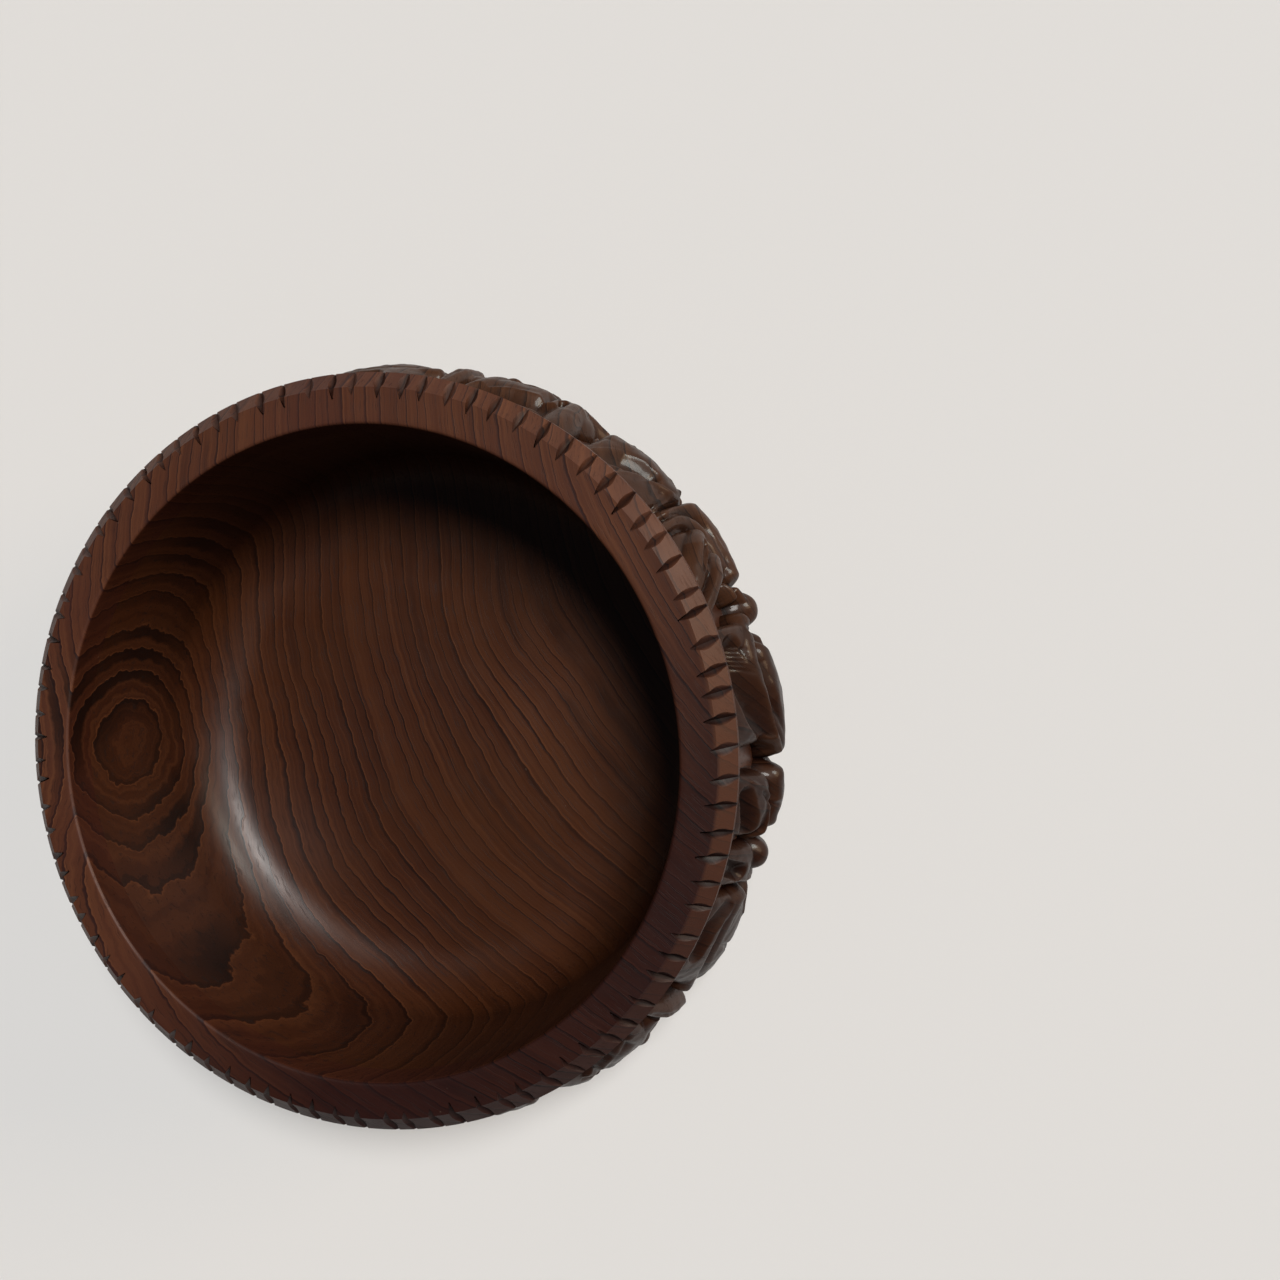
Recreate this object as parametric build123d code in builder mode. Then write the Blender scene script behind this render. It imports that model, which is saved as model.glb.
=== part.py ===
from build123d import *
from math import cos, pi, radians, sin
import os

# A small round bowl, turned and carved from one block of dark hardwood.
# Units are millimetres. +Z is up, the turning axis is Z, and the origin is the middle of the foot.

# Overall sizes
height = 50.0
belly_radius = 72.5

# Foot
foot_radius = 48.0
foot_height = 3.0
foot_chamfer = 0.8

# Turned wall, inside
floor_height = 8.0
floor_radius = 44.0
cove_radius = 12.0
mouth_radius = 57.6

# Turned wall, outside: the ground that the carving stands on, one arc in section
ground_centre = (34.0, 29.0)
ground_radius = 32.6
neck_height = 44.0

# Face of the carving before it is cut into leaves, one arc in section
relief_centre = (38.5, 27.0)
relief_radius = belly_radius - relief_centre[0]
relief_bottom = 4.5
relief_top = 43.8

# Rim band with its cut notches
rim_flat_radius = 64.0
rim_outer_radius = 67.0
rim_bevel_drop = 3.0
rim_edge_height = 1.5
rim_inner_round = 0.6
notch_count = 90
notch_width = 1.3
notch_depth = 0.9
notch_length = 12.0

# Frieze: nine motifs in a third of a turn, and the third is repeated three times
repeat_count = 3
repeat_angle = 360.0 / repeat_count
first_angle = 76.0
valley_angle = 0.6
blank_depth = 25.0
blank_face = belly_radius + 5.0

# Each leaf: angle that it takes, height of its tip, sideways lean of its tip
leaves = {
    "long_leaf": (22.0, 7.0, 2.5),
    "ribbed_leaf": (14.5, 9.0, -1.5),
    "fan_scroll": (14.5, 6.0, 1.0),
    "lobed_leaf": (20.0, 6.0, -2.5),
    "curled_leaf": (11.0, 8.0, 1.0),
    "broad_leaf": (19.0, 6.5, 2.0),
    "leaf_tip": (4.5, 20.0, 0.0),
}
# Each bud: angle that it takes, height of its middle
buds = {
    "ball_bud": (7.0, 28.0),
    "small_bud": (7.5, 30.0),
}
frieze = [
    "long_leaf",
    "ribbed_leaf",
    "fan_scroll",
    "ball_bud",
    "lobed_leaf",
    "curled_leaf",
    "small_bud",
    "broad_leaf",
    "leaf_tip",
]

# Outline of each leaf: the control points of its two sides, as shares of its half width and reach
side_bulge = 1.1
shoulder_drop = 0.4
waist_rise = 0.1

# Round gouge cut in the face of each leaf
scoop_share = 1.1
scoop_depth = 2.8
scoop_height = 36.0

os.makedirs("parts", exist_ok=True)


def arc_radius(centre, radius, level):
    """Distance from the axis, at one height, of a wall whose section is an arc."""
    return centre[0] + (radius ** 2 - (level - centre[1]) ** 2) ** 0.5


def station(angle, distance, level=0.0):
    """Plane that faces outwards at an angle round the axis, with its Y upwards."""
    turn = radians(angle)
    outward = (cos(turn), sin(turn), 0)
    along = (-sin(turn), cos(turn), 0)
    place = (distance * cos(turn), distance * sin(turn), level)
    return Plane(origin=place, x_dir=along, z_dir=outward)


def save(part, node):
    """Label one finished piece and write its STEP file."""
    part.label = node
    export_step(part, f"parts/{node}.step")


# Foot: a plain turned disc with a flat underside
with BuildPart() as foot:
    with BuildSketch():
        Circle(foot_radius)
    extrude(amount=foot_height)
    chamfer(foot.edges().group_by(Axis.Z)[0], foot_chamfer)
save(foot.part, "foot")

# Turned body: flat floor, coved corner and wall up to the neck
wall_foot_radius = floor_radius + cove_radius
wall_foot_height = floor_height + cove_radius
neck_share = (neck_height - wall_foot_height) / (height - wall_foot_height)
neck_inner_radius = wall_foot_radius + (mouth_radius - wall_foot_radius) * neck_share
ground_foot = (arc_radius(ground_centre, ground_radius, foot_height), foot_height)
ground_side = (ground_centre[0] + ground_radius, ground_centre[1])
ground_neck = (arc_radius(ground_centre, ground_radius, neck_height), neck_height)
cove_middle = (
    floor_radius + cove_radius * sin(pi / 4),
    floor_height + cove_radius * (1 - cos(pi / 4)),
)
with BuildPart() as bowl_body:
    with BuildSketch(Plane.XZ):
        with BuildLine():
            Polyline((floor_radius, floor_height), (0, floor_height), (0, foot_height), ground_foot)
            ThreePointArc(ground_foot, ground_side, ground_neck)
            Polyline(
                ground_neck,
                (neck_inner_radius, neck_height),
                (wall_foot_radius, wall_foot_height),
            )
            ThreePointArc(
                (wall_foot_radius, wall_foot_height), cove_middle, (floor_radius, floor_height)
            )
        make_face()
    revolve(axis=Axis.Z)
save(bowl_body.part, "bowl_body")

# Rim band: flat top, bevelled outer edge, and notches cut across the bevel
bevel_foot = height - rim_bevel_drop
rim_under = bevel_foot - rim_edge_height
bevel_plane = Plane(
    origin=((rim_flat_radius + rim_outer_radius) / 2, 0, height - rim_bevel_drop / 2),
    x_dir=(0, 1, 0),
    z_dir=(rim_flat_radius - rim_outer_radius, 0, -rim_bevel_drop),
)
with BuildPart(bevel_plane) as notch_cutter:
    Box(notch_width, notch_length, 2 * notch_depth)
with BuildPart() as rim_band:
    with BuildSketch(Plane.XZ):
        with BuildLine():
            Polyline(
                (neck_inner_radius, neck_height),
                ground_neck,
                (rim_outer_radius, rim_under),
                (rim_outer_radius, bevel_foot),
                (rim_flat_radius, height),
                (mouth_radius, height),
                close=True,
            )
        make_face()
    revolve(axis=Axis.Z)
    mouth_edge = rim_band.edges().group_by(Axis.Z)[-1].sort_by(SortBy.RADIUS)[0]
    fillet(mouth_edge, rim_inner_round)
    with PolarLocations(0, notch_count):
        add(notch_cutter.part, mode=Mode.SUBTRACT)
save(rim_band.part, "rim_band")

# Section of the raised band that every carved motif is cut from
relief_low = (arc_radius(relief_centre, relief_radius, relief_bottom), relief_bottom)
relief_side = (relief_centre[0] + relief_radius, relief_centre[1])
relief_high = (arc_radius(relief_centre, relief_radius, relief_top), relief_top)
inner_high = (arc_radius(ground_centre, ground_radius, relief_top), relief_top)
inner_low = (arc_radius(ground_centre, ground_radius, relief_bottom), relief_bottom)


def relief_plane(angle):
    """Upright plane through the turning axis, with X outwards and Y upwards."""
    turn = radians(angle)
    return Plane(origin=(0, 0, 0), x_dir=(cos(turn), sin(turn), 0), z_dir=(sin(turn), -cos(turn), 0))


def relief_section(angle):
    """Section of the raised band on the upright plane at one angle."""
    with BuildSketch(relief_plane(angle)) as section:
        with BuildLine():
            ThreePointArc(relief_low, relief_side, relief_high)
            Line(relief_high, inner_high)
            ThreePointArc(inner_high, ground_side, inner_low)
            Line(inner_low, relief_low)
        make_face()
    return section.sketch


def leaf(middle, angle, tip, lean):
    """Leaf standing on the wall: straight top under the rim, low tip, and a round gouge cut in its face."""
    half = belly_radius * sin(radians(angle / 2))
    reach = relief_top - tip
    shoulder = (half * side_bulge, relief_top - reach * shoulder_drop)
    waist = (half * side_bulge, tip + reach * waist_rise)
    with BuildPart() as blade:
        add(relief_section(middle - angle / 2))
        revolve(axis=Axis.Z, revolution_arc=angle)
        with BuildSketch(station(middle, blank_face)):
            with BuildLine():
                Line((-half, relief_top), (half, relief_top))
                Bezier((half, relief_top), shoulder, waist, (lean, tip))
                Bezier((lean, tip), (-waist[0], waist[1]), (-shoulder[0], shoulder[1]), (-half, relief_top))
            make_face()
        extrude(amount=-blank_depth, mode=Mode.INTERSECT)
        scoop_radius = half * scoop_share
        face = arc_radius(relief_centre, relief_radius, scoop_height)
        with Locations(station(middle, face + scoop_radius - scoop_depth, scoop_height)):
            Sphere(scoop_radius, mode=Mode.SUBTRACT)
    return blade.part


def bud(middle, angle, level):
    """Round bud that stands half out of the wall."""
    radius = arc_radius(ground_centre, ground_radius, level) * sin(radians(angle / 2))
    with BuildPart() as knob:
        add(relief_section(middle - angle / 2))
        revolve(axis=Axis.Z, revolution_arc=angle)
        with Locations(station(middle, belly_radius - radius, level)):
            Sphere(radius, mode=Mode.INTERSECT)
    return knob.part


# Frieze, clockwise from above, one node for each motif
for repeat in range(repeat_count):
    start = first_angle - repeat * repeat_angle
    for name in frieze:
        if name in buds:
            angle, level = buds[name]
            piece = bud(start - angle / 2, angle - valley_angle, level)
        else:
            angle, tip, lean = leaves[name]
            piece = leaf(start - angle / 2, angle - valley_angle, tip, lean)
        start -= angle
        save(piece, f"{name}_{repeat + 1}")
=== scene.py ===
"""A small round bowl, turned and carved from one block of dark hardwood: its visible pieces and finishes.

Sizes in the classes are millimetres, as a carver would mark them out. Meshes are written in metres.
"""

import logging
import math
from dataclasses import dataclass, field
from enum import Enum

import bmesh
import bpy
import numpy as np
from mathutils import Matrix, Vector


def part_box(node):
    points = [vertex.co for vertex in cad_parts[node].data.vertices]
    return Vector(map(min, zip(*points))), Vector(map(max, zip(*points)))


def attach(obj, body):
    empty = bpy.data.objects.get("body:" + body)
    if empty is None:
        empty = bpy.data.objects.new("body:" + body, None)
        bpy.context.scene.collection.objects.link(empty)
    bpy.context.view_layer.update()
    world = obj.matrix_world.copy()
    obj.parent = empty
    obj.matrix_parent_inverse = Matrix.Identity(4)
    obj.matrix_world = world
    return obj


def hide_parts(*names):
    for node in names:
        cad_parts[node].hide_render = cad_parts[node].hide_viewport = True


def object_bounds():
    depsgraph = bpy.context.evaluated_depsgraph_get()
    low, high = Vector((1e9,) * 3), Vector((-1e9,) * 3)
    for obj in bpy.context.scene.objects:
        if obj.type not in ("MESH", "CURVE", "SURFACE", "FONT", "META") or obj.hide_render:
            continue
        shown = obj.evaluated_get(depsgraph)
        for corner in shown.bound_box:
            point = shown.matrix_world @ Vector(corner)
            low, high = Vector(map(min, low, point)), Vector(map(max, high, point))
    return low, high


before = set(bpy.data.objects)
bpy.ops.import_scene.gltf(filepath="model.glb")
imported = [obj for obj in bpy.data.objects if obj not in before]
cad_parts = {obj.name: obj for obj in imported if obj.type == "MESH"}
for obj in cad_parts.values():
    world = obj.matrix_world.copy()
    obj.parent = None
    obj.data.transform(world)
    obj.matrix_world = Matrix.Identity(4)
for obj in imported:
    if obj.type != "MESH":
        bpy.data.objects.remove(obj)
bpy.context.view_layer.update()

log = logging.getLogger("carved_bowl")

Triple = tuple[float, float, float]
Socket = bpy.types.NodeSocket
Wood = bpy.types.Material
Stops = tuple[tuple[float, object], ...]
Section = list[tuple[float, float]]
Line = tuple[tuple[float, float], ...]

MM = 0.001
BODY = "root"
REPEATS = 3


class Cut(Enum):
    """What one pass of the gouge does to the carved face."""

    RAISE = "raise"
    SCOOP = "scoop"
    GROOVE = "groove"


class Slot(Enum):
    """Material slots of the record."""

    TURNED = "turned_wood"
    RIM = "rim_wood"
    CARVED = "carved_wood"


# ---------------------------------------------------------------- finishes


class NodeBench:
    """A short hand for wiring one material's nodes."""

    COLOUR_BELOW = 6
    COLOUR_ABOVE = 7
    COLOUR_RESULT = 2

    def __init__(self, name: str) -> None:
        """Start an empty material.

        Args:
            name: the material's name.
        """
        self.material = bpy.data.materials.new(name)
        self.material.use_nodes = True
        self.tree = self.material.node_tree
        self.tree.nodes.clear()

    def node(self, kind: str, **settings: object) -> bpy.types.Node:
        """Add a node and set its properties.

        Args:
            kind: Blender's name for the node type.
            **settings: properties to set on it.

        Returns:
            The new node.
        """
        made = self.tree.nodes.new(kind)
        for key, value in settings.items():
            setattr(made, key, value)
        return made

    def feed(self, node: bpy.types.Node, socket: int | str, value: object) -> None:
        """Link an output to a socket, or set the socket's own value.

        Args:
            node: the node that receives.
            socket: its input's name or number.
            value: an output socket, or a plain value.
        """
        if isinstance(value, bpy.types.NodeSocket):
            self.tree.links.new(value, node.inputs[socket])
        else:
            node.inputs[socket].default_value = value

    def sum(self, kind: str, first: object, second: object = 0.0, third: object = 0.0) -> Socket:
        """One Math node.

        Args:
            kind: its operation.
            first: first input.
            second: second input.
            third: third input.

        Returns:
            The node's result.
        """
        made = self.node("ShaderNodeMath", operation=kind)
        for place, value in enumerate((first, second, third)):
            self.feed(made, place, value)
        return made.outputs[0]

    def times(self, first: object, second: object) -> Socket:
        """The product of two values."""
        return self.sum("MULTIPLY", first, second)

    def swing(self, value: Socket, width: object, middle: object) -> Socket:
        """Let a value from 0 to 1 swing round a middle.

        Args:
            value: the value that swings.
            width: how far it takes the result from end to end.
            middle: the result where the value is a half.

        Returns:
            The result.
        """
        return self.sum("MULTIPLY_ADD", self.sum("SUBTRACT", value, 0.5), width, middle)

    def stretch(self, value: Socket, start: float, end: float, low: float, high: float) -> Socket:
        """One Map Range node, which stops at both ends.

        Args:
            value: what is mapped.
            start: the value that gives the low result.
            end: the value that gives the high result.
            low: the low result.
            high: the high result.

        Returns:
            The result.
        """
        made = self.node("ShaderNodeMapRange")
        for place, number in enumerate((value, start, end, low, high)):
            self.feed(made, place, number)
        return made.outputs[0]

    def attribute(self, name: str) -> Socket:
        """The piece's own value of that name."""
        return self.node("ShaderNodeAttribute", attribute_name=name).outputs["Fac"]

    def noise(self, scale: float, detail: float, rough: float = 0.5, **inputs: object) -> Socket:
        """One Noise node.

        Args:
            scale: its scale.
            detail: its octaves.
            rough: how much the fine octaves count.
            **inputs: Vector for a solid noise, or W for a noise along a line.

        Returns:
            The noise value.
        """
        made = self.node("ShaderNodeTexNoise", noise_dimensions="1D" if "W" in inputs else "3D")
        for key, value in {**inputs, "Scale": scale, "Detail": detail, "Roughness": rough}.items():
            self.feed(made, key, value)
        return made.outputs[0]

    def ramp(self, factor: Socket, stops: Stops) -> Socket:
        """One Color Ramp.

        Args:
            factor: what drives it.
            stops: position and colour (or grey level) of each stop.

        Returns:
            The ramp's colour.
        """
        made = self.node("ShaderNodeValToRGB")
        points = made.color_ramp.elements
        while len(points) < len(stops):
            points.new(1.0)
        for point, (place, colour) in zip(points, stops):
            point.position = place
            point.color = (colour,) * 3 + (1.0,) if isinstance(colour, float) else (*colour, 1.0)
        self.feed(made, 0, factor)
        return made.outputs[0]

    def mix(self, kind: str, share: object, below: object, above: object) -> Socket:
        """One colour Mix node.

        Args:
            kind: its blend type.
            share: how much of the colour above.
            below: colour below.
            above: colour above.

        Returns:
            The mixed colour.
        """
        made = self.node("ShaderNodeMix", data_type="RGBA", blend_type=kind)
        self.feed(made, 0, share)
        for place, value in ((self.COLOUR_BELOW, below), (self.COLOUR_ABOVE, above)):
            self.feed(made, place, (*value, 1.0) if isinstance(value, tuple) else value)
        return made.outputs[self.COLOUR_RESULT]


@dataclass(frozen=True)
class GrainField:
    """How the growth rings lie in the block: the same solid grain runs through every piece.

    Places and reaches are millimetres. A stretch says how much each axis counts in a reach.
    """

    heart: float = -57.0
    twist: float = 0.0086
    bow: float = -0.0040
    dome: float = 0.0090
    dome_height: float = 30.0
    swell_place: Triple = (-57.0, -1.5, 33.0)
    swell_stretch: Triple = (0.5, 0.86, 0.62)
    swell_reach: float = 10.5
    swell_rise: float = 12.5
    figure_stretch: Triple = (0.8, 0.8, 0.8)
    figure_reach: float = 22.0
    bend_place: Triple = (12.0, 21.0, 0.0)
    bend_stretch: Triple = (1.0, 1.0, 0.0)
    bend_reach: float = 11.0
    bend_rise: float = 4.6
    pale_place: Triple = (24.0, 2.0, 0.0)
    pale_stretch: Triple = (1.0, 0.6, 0.0)
    pale_reach: float = 13.0
    stain_places: tuple[Triple, ...] = (
        (-53.9, 17.4, 31.5),
        (-57.1, 6.3, 46.0),
        (-53.1, -18.2, 23.0),
        (-36.3, -43.6, 33.0),
        (-41.5, 39.5, 31.0),
    )
    stain_stretch: Triple = (1.0, 1.0, 1.0)
    stain_reach: float = 7.2
    wander_scale: float = 0.026
    wander_width: float = 5.6
    waver_scale: float = 0.15
    waver_width: float = 1.6
    jag_width: float = 2.4
    ring_spacing: float = 3.6
    drift_scale: float = 0.11
    drift_start: float = 71.0
    drift_rings: float = 1.7

    def near(self, bench: NodeBench, place: Socket, middle: Triple, stretch: Triple, reach: float) -> Socket:
        """Bell-shaped nearness to one point of the block.

        Args:
            bench: the material's bench.
            place: point in the block, in millimetres.
            middle: where the bell stands.
            stretch: how much each axis counts.
            reach: distance, in millimetres, at which the bell has fallen to six tenths.

        Returns:
            A value that is 1 at the middle and fades to 0.
        """
        away = bench.node("ShaderNodeVectorMath", operation="SUBTRACT")
        bench.feed(away, 0, place)
        bench.feed(away, 1, middle)
        stretched = bench.node("ShaderNodeVectorMath", operation="MULTIPLY")
        bench.feed(stretched, 0, away.outputs[0])
        bench.feed(stretched, 1, stretch)
        length = bench.node("ShaderNodeVectorMath", operation="LENGTH")
        bench.feed(length, 0, stretched.outputs[0])
        share = bench.sum("DIVIDE", length.outputs["Value"], reach)
        return bench.sum("EXPONENT", bench.times(bench.times(share, share), -0.5))

    def figure(self, bench: NodeBench, place: Socket) -> Socket:
        """How strongly the wood is figured: 1 round the swelling, 0 far from it."""
        return self.near(bench, place, self.swell_place, self.figure_stretch, self.figure_reach)

    def pale_band(self, bench: NodeBench, place: Socket) -> Socket:
        """Where the wood is paler, beside the bend of the lines on the floor: 1 in its middle."""
        return self.near(bench, place, self.pale_place, self.pale_stretch, self.pale_reach)

    def stains(self, bench: NodeBench, place: Socket) -> Socket:
        """Places where the dark lines of the figure run together.

        Args:
            bench: the material's bench.
            place: point in the block, in millimetres.

        Returns:
            1 in the middle of a stain, 0 away from them.
        """
        total: object = 0.0
        for middle in self.stain_places:
            here = self.near(bench, place, middle, self.stain_stretch, self.stain_reach)
            total = bench.sum("ADD", total, here)
        return bench.sum("MINIMUM", total, 1.0)

    def rings(self, bench: NodeBench, place: Socket) -> Socket:
        """Distance across the rings, in millimetres.

        Args:
            bench: the material's bench.
            place: point in the block, in millimetres.

        Returns:
            The ring coordinate.
        """
        axes = bench.node("ShaderNodeSeparateXYZ")
        bench.feed(axes, 0, place)
        x, y, z = axes.outputs
        turn = bench.times(bench.times(bench.sum("SUBTRACT", x, self.heart), y), self.twist)
        bow = bench.times(bench.times(y, y), self.bow)
        rise = bench.sum("SUBTRACT", z, self.dome_height)
        dome = bench.times(bench.times(rise, rise), self.dome)
        rings = bench.sum("ADD", bench.sum("ADD", x, turn), bench.sum("ADD", bow, dome))
        hill = self.near(bench, place, self.swell_place, self.swell_stretch, self.swell_reach)
        rings = bench.sum("MULTIPLY_ADD", bench.sum("SUBTRACT", 1.0, hill), self.swell_rise, rings)
        slow = bench.noise(self.wander_scale, 1.0, Vector=place)
        wander = bench.sum("MULTIPLY_ADD", slow, self.wander_width, -self.wander_width / 2)
        waver = bench.swing(bench.noise(self.waver_scale, 3.0, 0.62, Vector=place), self.waver_width, 0.0)
        jag = bench.sum("SUBTRACT", bench.noise(self.waver_scale, 3.0, 0.66, Vector=place), 0.5)
        jag = bench.times(self.figure(bench, place), jag)
        waver = bench.sum("MULTIPLY_ADD", jag, self.jag_width, waver)
        bend = self.near(bench, place, self.bend_place, self.bend_stretch, self.bend_reach)
        rings = bench.sum("MULTIPLY_ADD", bend, self.bend_rise, rings)
        return bench.sum("ADD", rings, bench.sum("ADD", wander, waver))

    def across_ring(self, bench: NodeBench, rings: Socket) -> Socket:
        """Share of the way across one growth ring, where no two rings are quite the same width.

        Args:
            bench: the material's bench.
            rings: the ring coordinate.

        Returns:
            0 where a ring starts, rising to 1 where it ends.
        """
        drift = bench.noise(self.drift_scale, 1.0, W=bench.sum("ADD", rings, self.drift_start))
        pitch = bench.sum("DIVIDE", rings, self.ring_spacing)
        return bench.sum("FRACT", bench.sum("MULTIPLY_ADD", drift, self.drift_rings, pitch))


@dataclass(frozen=True)
class WoodMarks:
    """Sizes and strengths of the marks that every finish of this wood shows.

    Noise scales are per millimetre. An edge gives the noise values between which a mark fades in or out.
    """

    ring_tones: Stops = (
        (0.0, 0.74),
        (0.05, 0.56),
        (0.55, 0.51),
        (0.83, 0.45),
        (0.89, 0.18),
        (0.92, 0.0),
        (0.965, 0.0),
        (1.0, 0.90),
    )
    line_share: float = 0.88
    line_in_figure: float = 0.62
    broad_scale: float = 0.13
    broad_share: float = 0.30
    fine_scale: float = 1.1
    fine_share: float = 0.30
    fine_in_figure: float = 0.25
    pale_rise: float = 0.13
    cloud_scale: float = 0.03
    cloud_edge: Stops = ((0.40, 0.0), (0.66, 1.0))
    cloud_share: float = 0.45
    stain_run: Stops = ((0.42, 0.0), (0.60, 1.0), (0.93, 1.0), (0.99, 0.0))
    stain_share: float = 0.90
    stain_colour: Triple = (0.0065, 0.0022, 0.0012)
    blot_scale: float = 0.21
    blot_start: float = 17.0
    blot_edge: Stops = ((0.56, 0.0), (0.66, 1.0))
    blot_field_scale: float = 0.045
    blot_field_edge: Stops = ((0.46, 0.0), (0.60, 1.0))
    blot_share: float = 0.40
    # Side that darkens, how far it reaches and its colour: partly darker wood, partly painted shade.
    dark_side: Triple = (0.62, -0.78, 0.0)
    dark_side_reach: float = 42.0
    dark_side_colour: Triple = (0.30, 0.21, 0.27)
    pore_scales: Triple = (3.4, 0.22, 0.9)
    pore_edge: Stops = ((0.33, 1.0), (0.42, 0.0))
    pore_share: float = 0.55
    pore_colour: Triple = (0.35, 0.30, 0.30)
    pore_roughness: float = 0.14
    pore_depth: float = -0.25
    # Colour multiplied into hollows: painted shade, with a little dirt.
    shade_and_dirt_colour: Triple = (0.22, 0.17, 0.15)
    dust_scale: float = 0.85
    dust_edge: Stops = ((0.735, 0.0), (0.76, 1.0))
    dust_share: float = 0.22
    dust_colour: Triple = (0.16, 0.12, 0.09)
    polish_scale: float = 0.12
    skin_scale: float = 0.5
    skin_height: float = 0.5
    ring_height: float = 0.35
    bump_distance: float = 0.12


@dataclass(frozen=True)
class WoodFinish:
    """One finish of the dark hardwood: its colours, its polish and how strongly its marks show."""

    name: str
    dark: Triple
    middle: Triple
    light: Triple
    streak: Triple
    roughness: tuple[float, float]
    coat: float
    coat_roughness: float
    specular: float
    bump: float
    # How strongly one side darkens: partly darker wood, partly painted shade.
    shade: float = 0.0
    contrast: float = 1.0
    # How strongly hollows darken: painted shade, with a little dirt.
    hollow_shade_and_dirt: float = 0.80
    # How strongly the painted highlight on crests and lit lands shows.
    crest: float = 0.25
    lining: "WoodFinish | None" = None
    tones: tuple[float, float, float] = (0.18, 0.5, 0.84)
    grain: GrainField = field(default_factory=GrainField)
    marks: WoodMarks = field(default_factory=WoodMarks)

    def material(self) -> bpy.types.Material:
        """Wire the finish.

        Returns:
            The material; it reads Object coordinates, inside values, painted shade and painted highlight.
        """
        bench = NodeBench(self.name)
        place = bench.node("ShaderNodeVectorMath", operation="SCALE")
        bench.feed(place, 0, bench.node("ShaderNodeTexCoord").outputs["Object"])
        bench.feed(place, "Scale", 1.0 / MM)
        block = place.outputs[0]
        rings = self.grain.rings(bench, block)
        across = self.grain.across_ring(bench, rings)
        late = bench.ramp(across, self.marks.ring_tones)
        pores = self.pores(bench, block, rings)

        colour = self.stain_wood(bench, self.tone(bench, block, rings, late))
        colour = self.darken(bench, block, rings, across, colour)
        # One side darker: partly darker wood, partly painted shade.
        colour = self.shade_side(bench, block, colour)
        # Pores, painted shade in hollows, painted highlight on crests and lands, and dust.
        colour = self.wear(bench, block, pores, colour)

        shader = bench.node("ShaderNodeBsdfPrincipled")
        bench.feed(shader, "Base Color", colour)
        bench.feed(shader, "Roughness", self.polish(bench, block, pores))
        bench.feed(shader, "Specular IOR Level", self.specular)
        bench.feed(shader, "Coat Weight", self.coat)
        bench.feed(shader, "Coat Roughness", self.coat_roughness)
        bench.feed(shader, "Normal", self.relief(bench, block, late, pores))
        output = bench.node("ShaderNodeOutputMaterial")
        bench.feed(output, "Surface", shader.outputs[0])
        return bench.material

    def tone(self, bench: NodeBench, block: Socket, rings: Socket, late: Socket) -> Socket:
        """How pale the wood is, from its rings, its figure and its finer streaks.

        Args:
            bench: the material's bench.
            block: point in the block, in millimetres.
            rings: the ring coordinate.
            late: tone of the ring there, darkest in its late wood.

        Returns:
            0 in the darkest lines, 1 in the palest wood.
        """
        marks = self.marks
        figure = self.grain.figure(bench, block)
        broad = bench.noise(marks.broad_scale, 2.0, W=rings)
        fine = bench.noise(marks.fine_scale, 4.0, 0.62, W=rings)
        extra, plain = marks.line_in_figure * self.contrast, marks.line_share * self.contrast
        tone = bench.swing(late, bench.sum("MULTIPLY_ADD", figure, extra, plain), 0.5)
        tone = bench.swing(broad, marks.broad_share, tone)
        weight = bench.sum("MULTIPLY_ADD", figure, marks.fine_in_figure, marks.fine_share)
        tone = bench.swing(fine, weight, tone)
        return bench.sum("MULTIPLY_ADD", self.grain.pale_band(bench, block), marks.pale_rise, tone)

    def stain_wood(self, bench: NodeBench, tone: Socket) -> Socket:
        """Colour of the wood for its tone, with the lining's colour where the piece faces the bowl's inside.

        Args:
            bench: the material's bench.
            tone: 0 in the darkest lines, 1 in the palest wood.

        Returns:
            The colour.
        """
        colour = bench.ramp(tone, tuple(zip(self.tones, (self.dark, self.middle, self.light))))
        if self.lining is None:
            return colour
        lined = self.lining.stain_wood(bench, tone)
        return bench.mix("MIX", bench.attribute("inside"), colour, lined)

    def darken(
        self, bench: NodeBench, block: Socket, rings: Socket, across: Socket, colour: Socket
    ) -> Socket:
        """Lay broad clouds, the black stains of the figure and dark blots along the rings.

        Args:
            bench: the material's bench.
            block: point in the block, in millimetres.
            rings: the ring coordinate.
            across: share of the way across a ring.
            colour: colour so far.

        Returns:
            The colour with these marks.
        """
        marks = self.marks
        cloud = bench.ramp(bench.noise(marks.cloud_scale, 2.0, Vector=block), marks.cloud_edge)
        colour = bench.mix("MIX", bench.times(cloud, marks.cloud_share), colour, self.streak)
        run = bench.times(bench.ramp(across, marks.stain_run), self.grain.stains(bench, block))
        colour = bench.mix("MIX", bench.times(run, marks.stain_share), colour, marks.stain_colour)
        blot = bench.noise(marks.blot_scale, 2.0, W=bench.sum("ADD", rings, marks.blot_start))
        where = bench.noise(marks.blot_field_scale, 3.0, 0.55, Vector=block)
        share = bench.times(bench.ramp(blot, marks.blot_edge), bench.ramp(where, marks.blot_field_edge))
        return bench.mix("MIX", bench.times(share, marks.blot_share), colour, self.dark)

    def shade_side(self, bench: NodeBench, block: Socket, colour: Socket) -> Socket:
        """Darken one side of the bowl's outside: partly darker wood, partly painted shade.

        Args:
            bench: the material's bench.
            block: point in the block, in millimetres.
            colour: colour so far.

        Returns:
            The colour, darker on that side but not inside the bowl.
        """
        side = bench.node("ShaderNodeVectorMath", operation="DOT_PRODUCT")
        bench.feed(side, 0, block)
        bench.feed(side, 1, self.marks.dark_side)
        shaded = bench.stretch(side.outputs["Value"], 0.0, self.marks.dark_side_reach, 0.0, self.shade)
        outside = bench.sum("SUBTRACT", 1.0, bench.attribute("inside"))
        return bench.mix("MULTIPLY", bench.times(shaded, outside), colour, self.marks.dark_side_colour)

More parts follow.
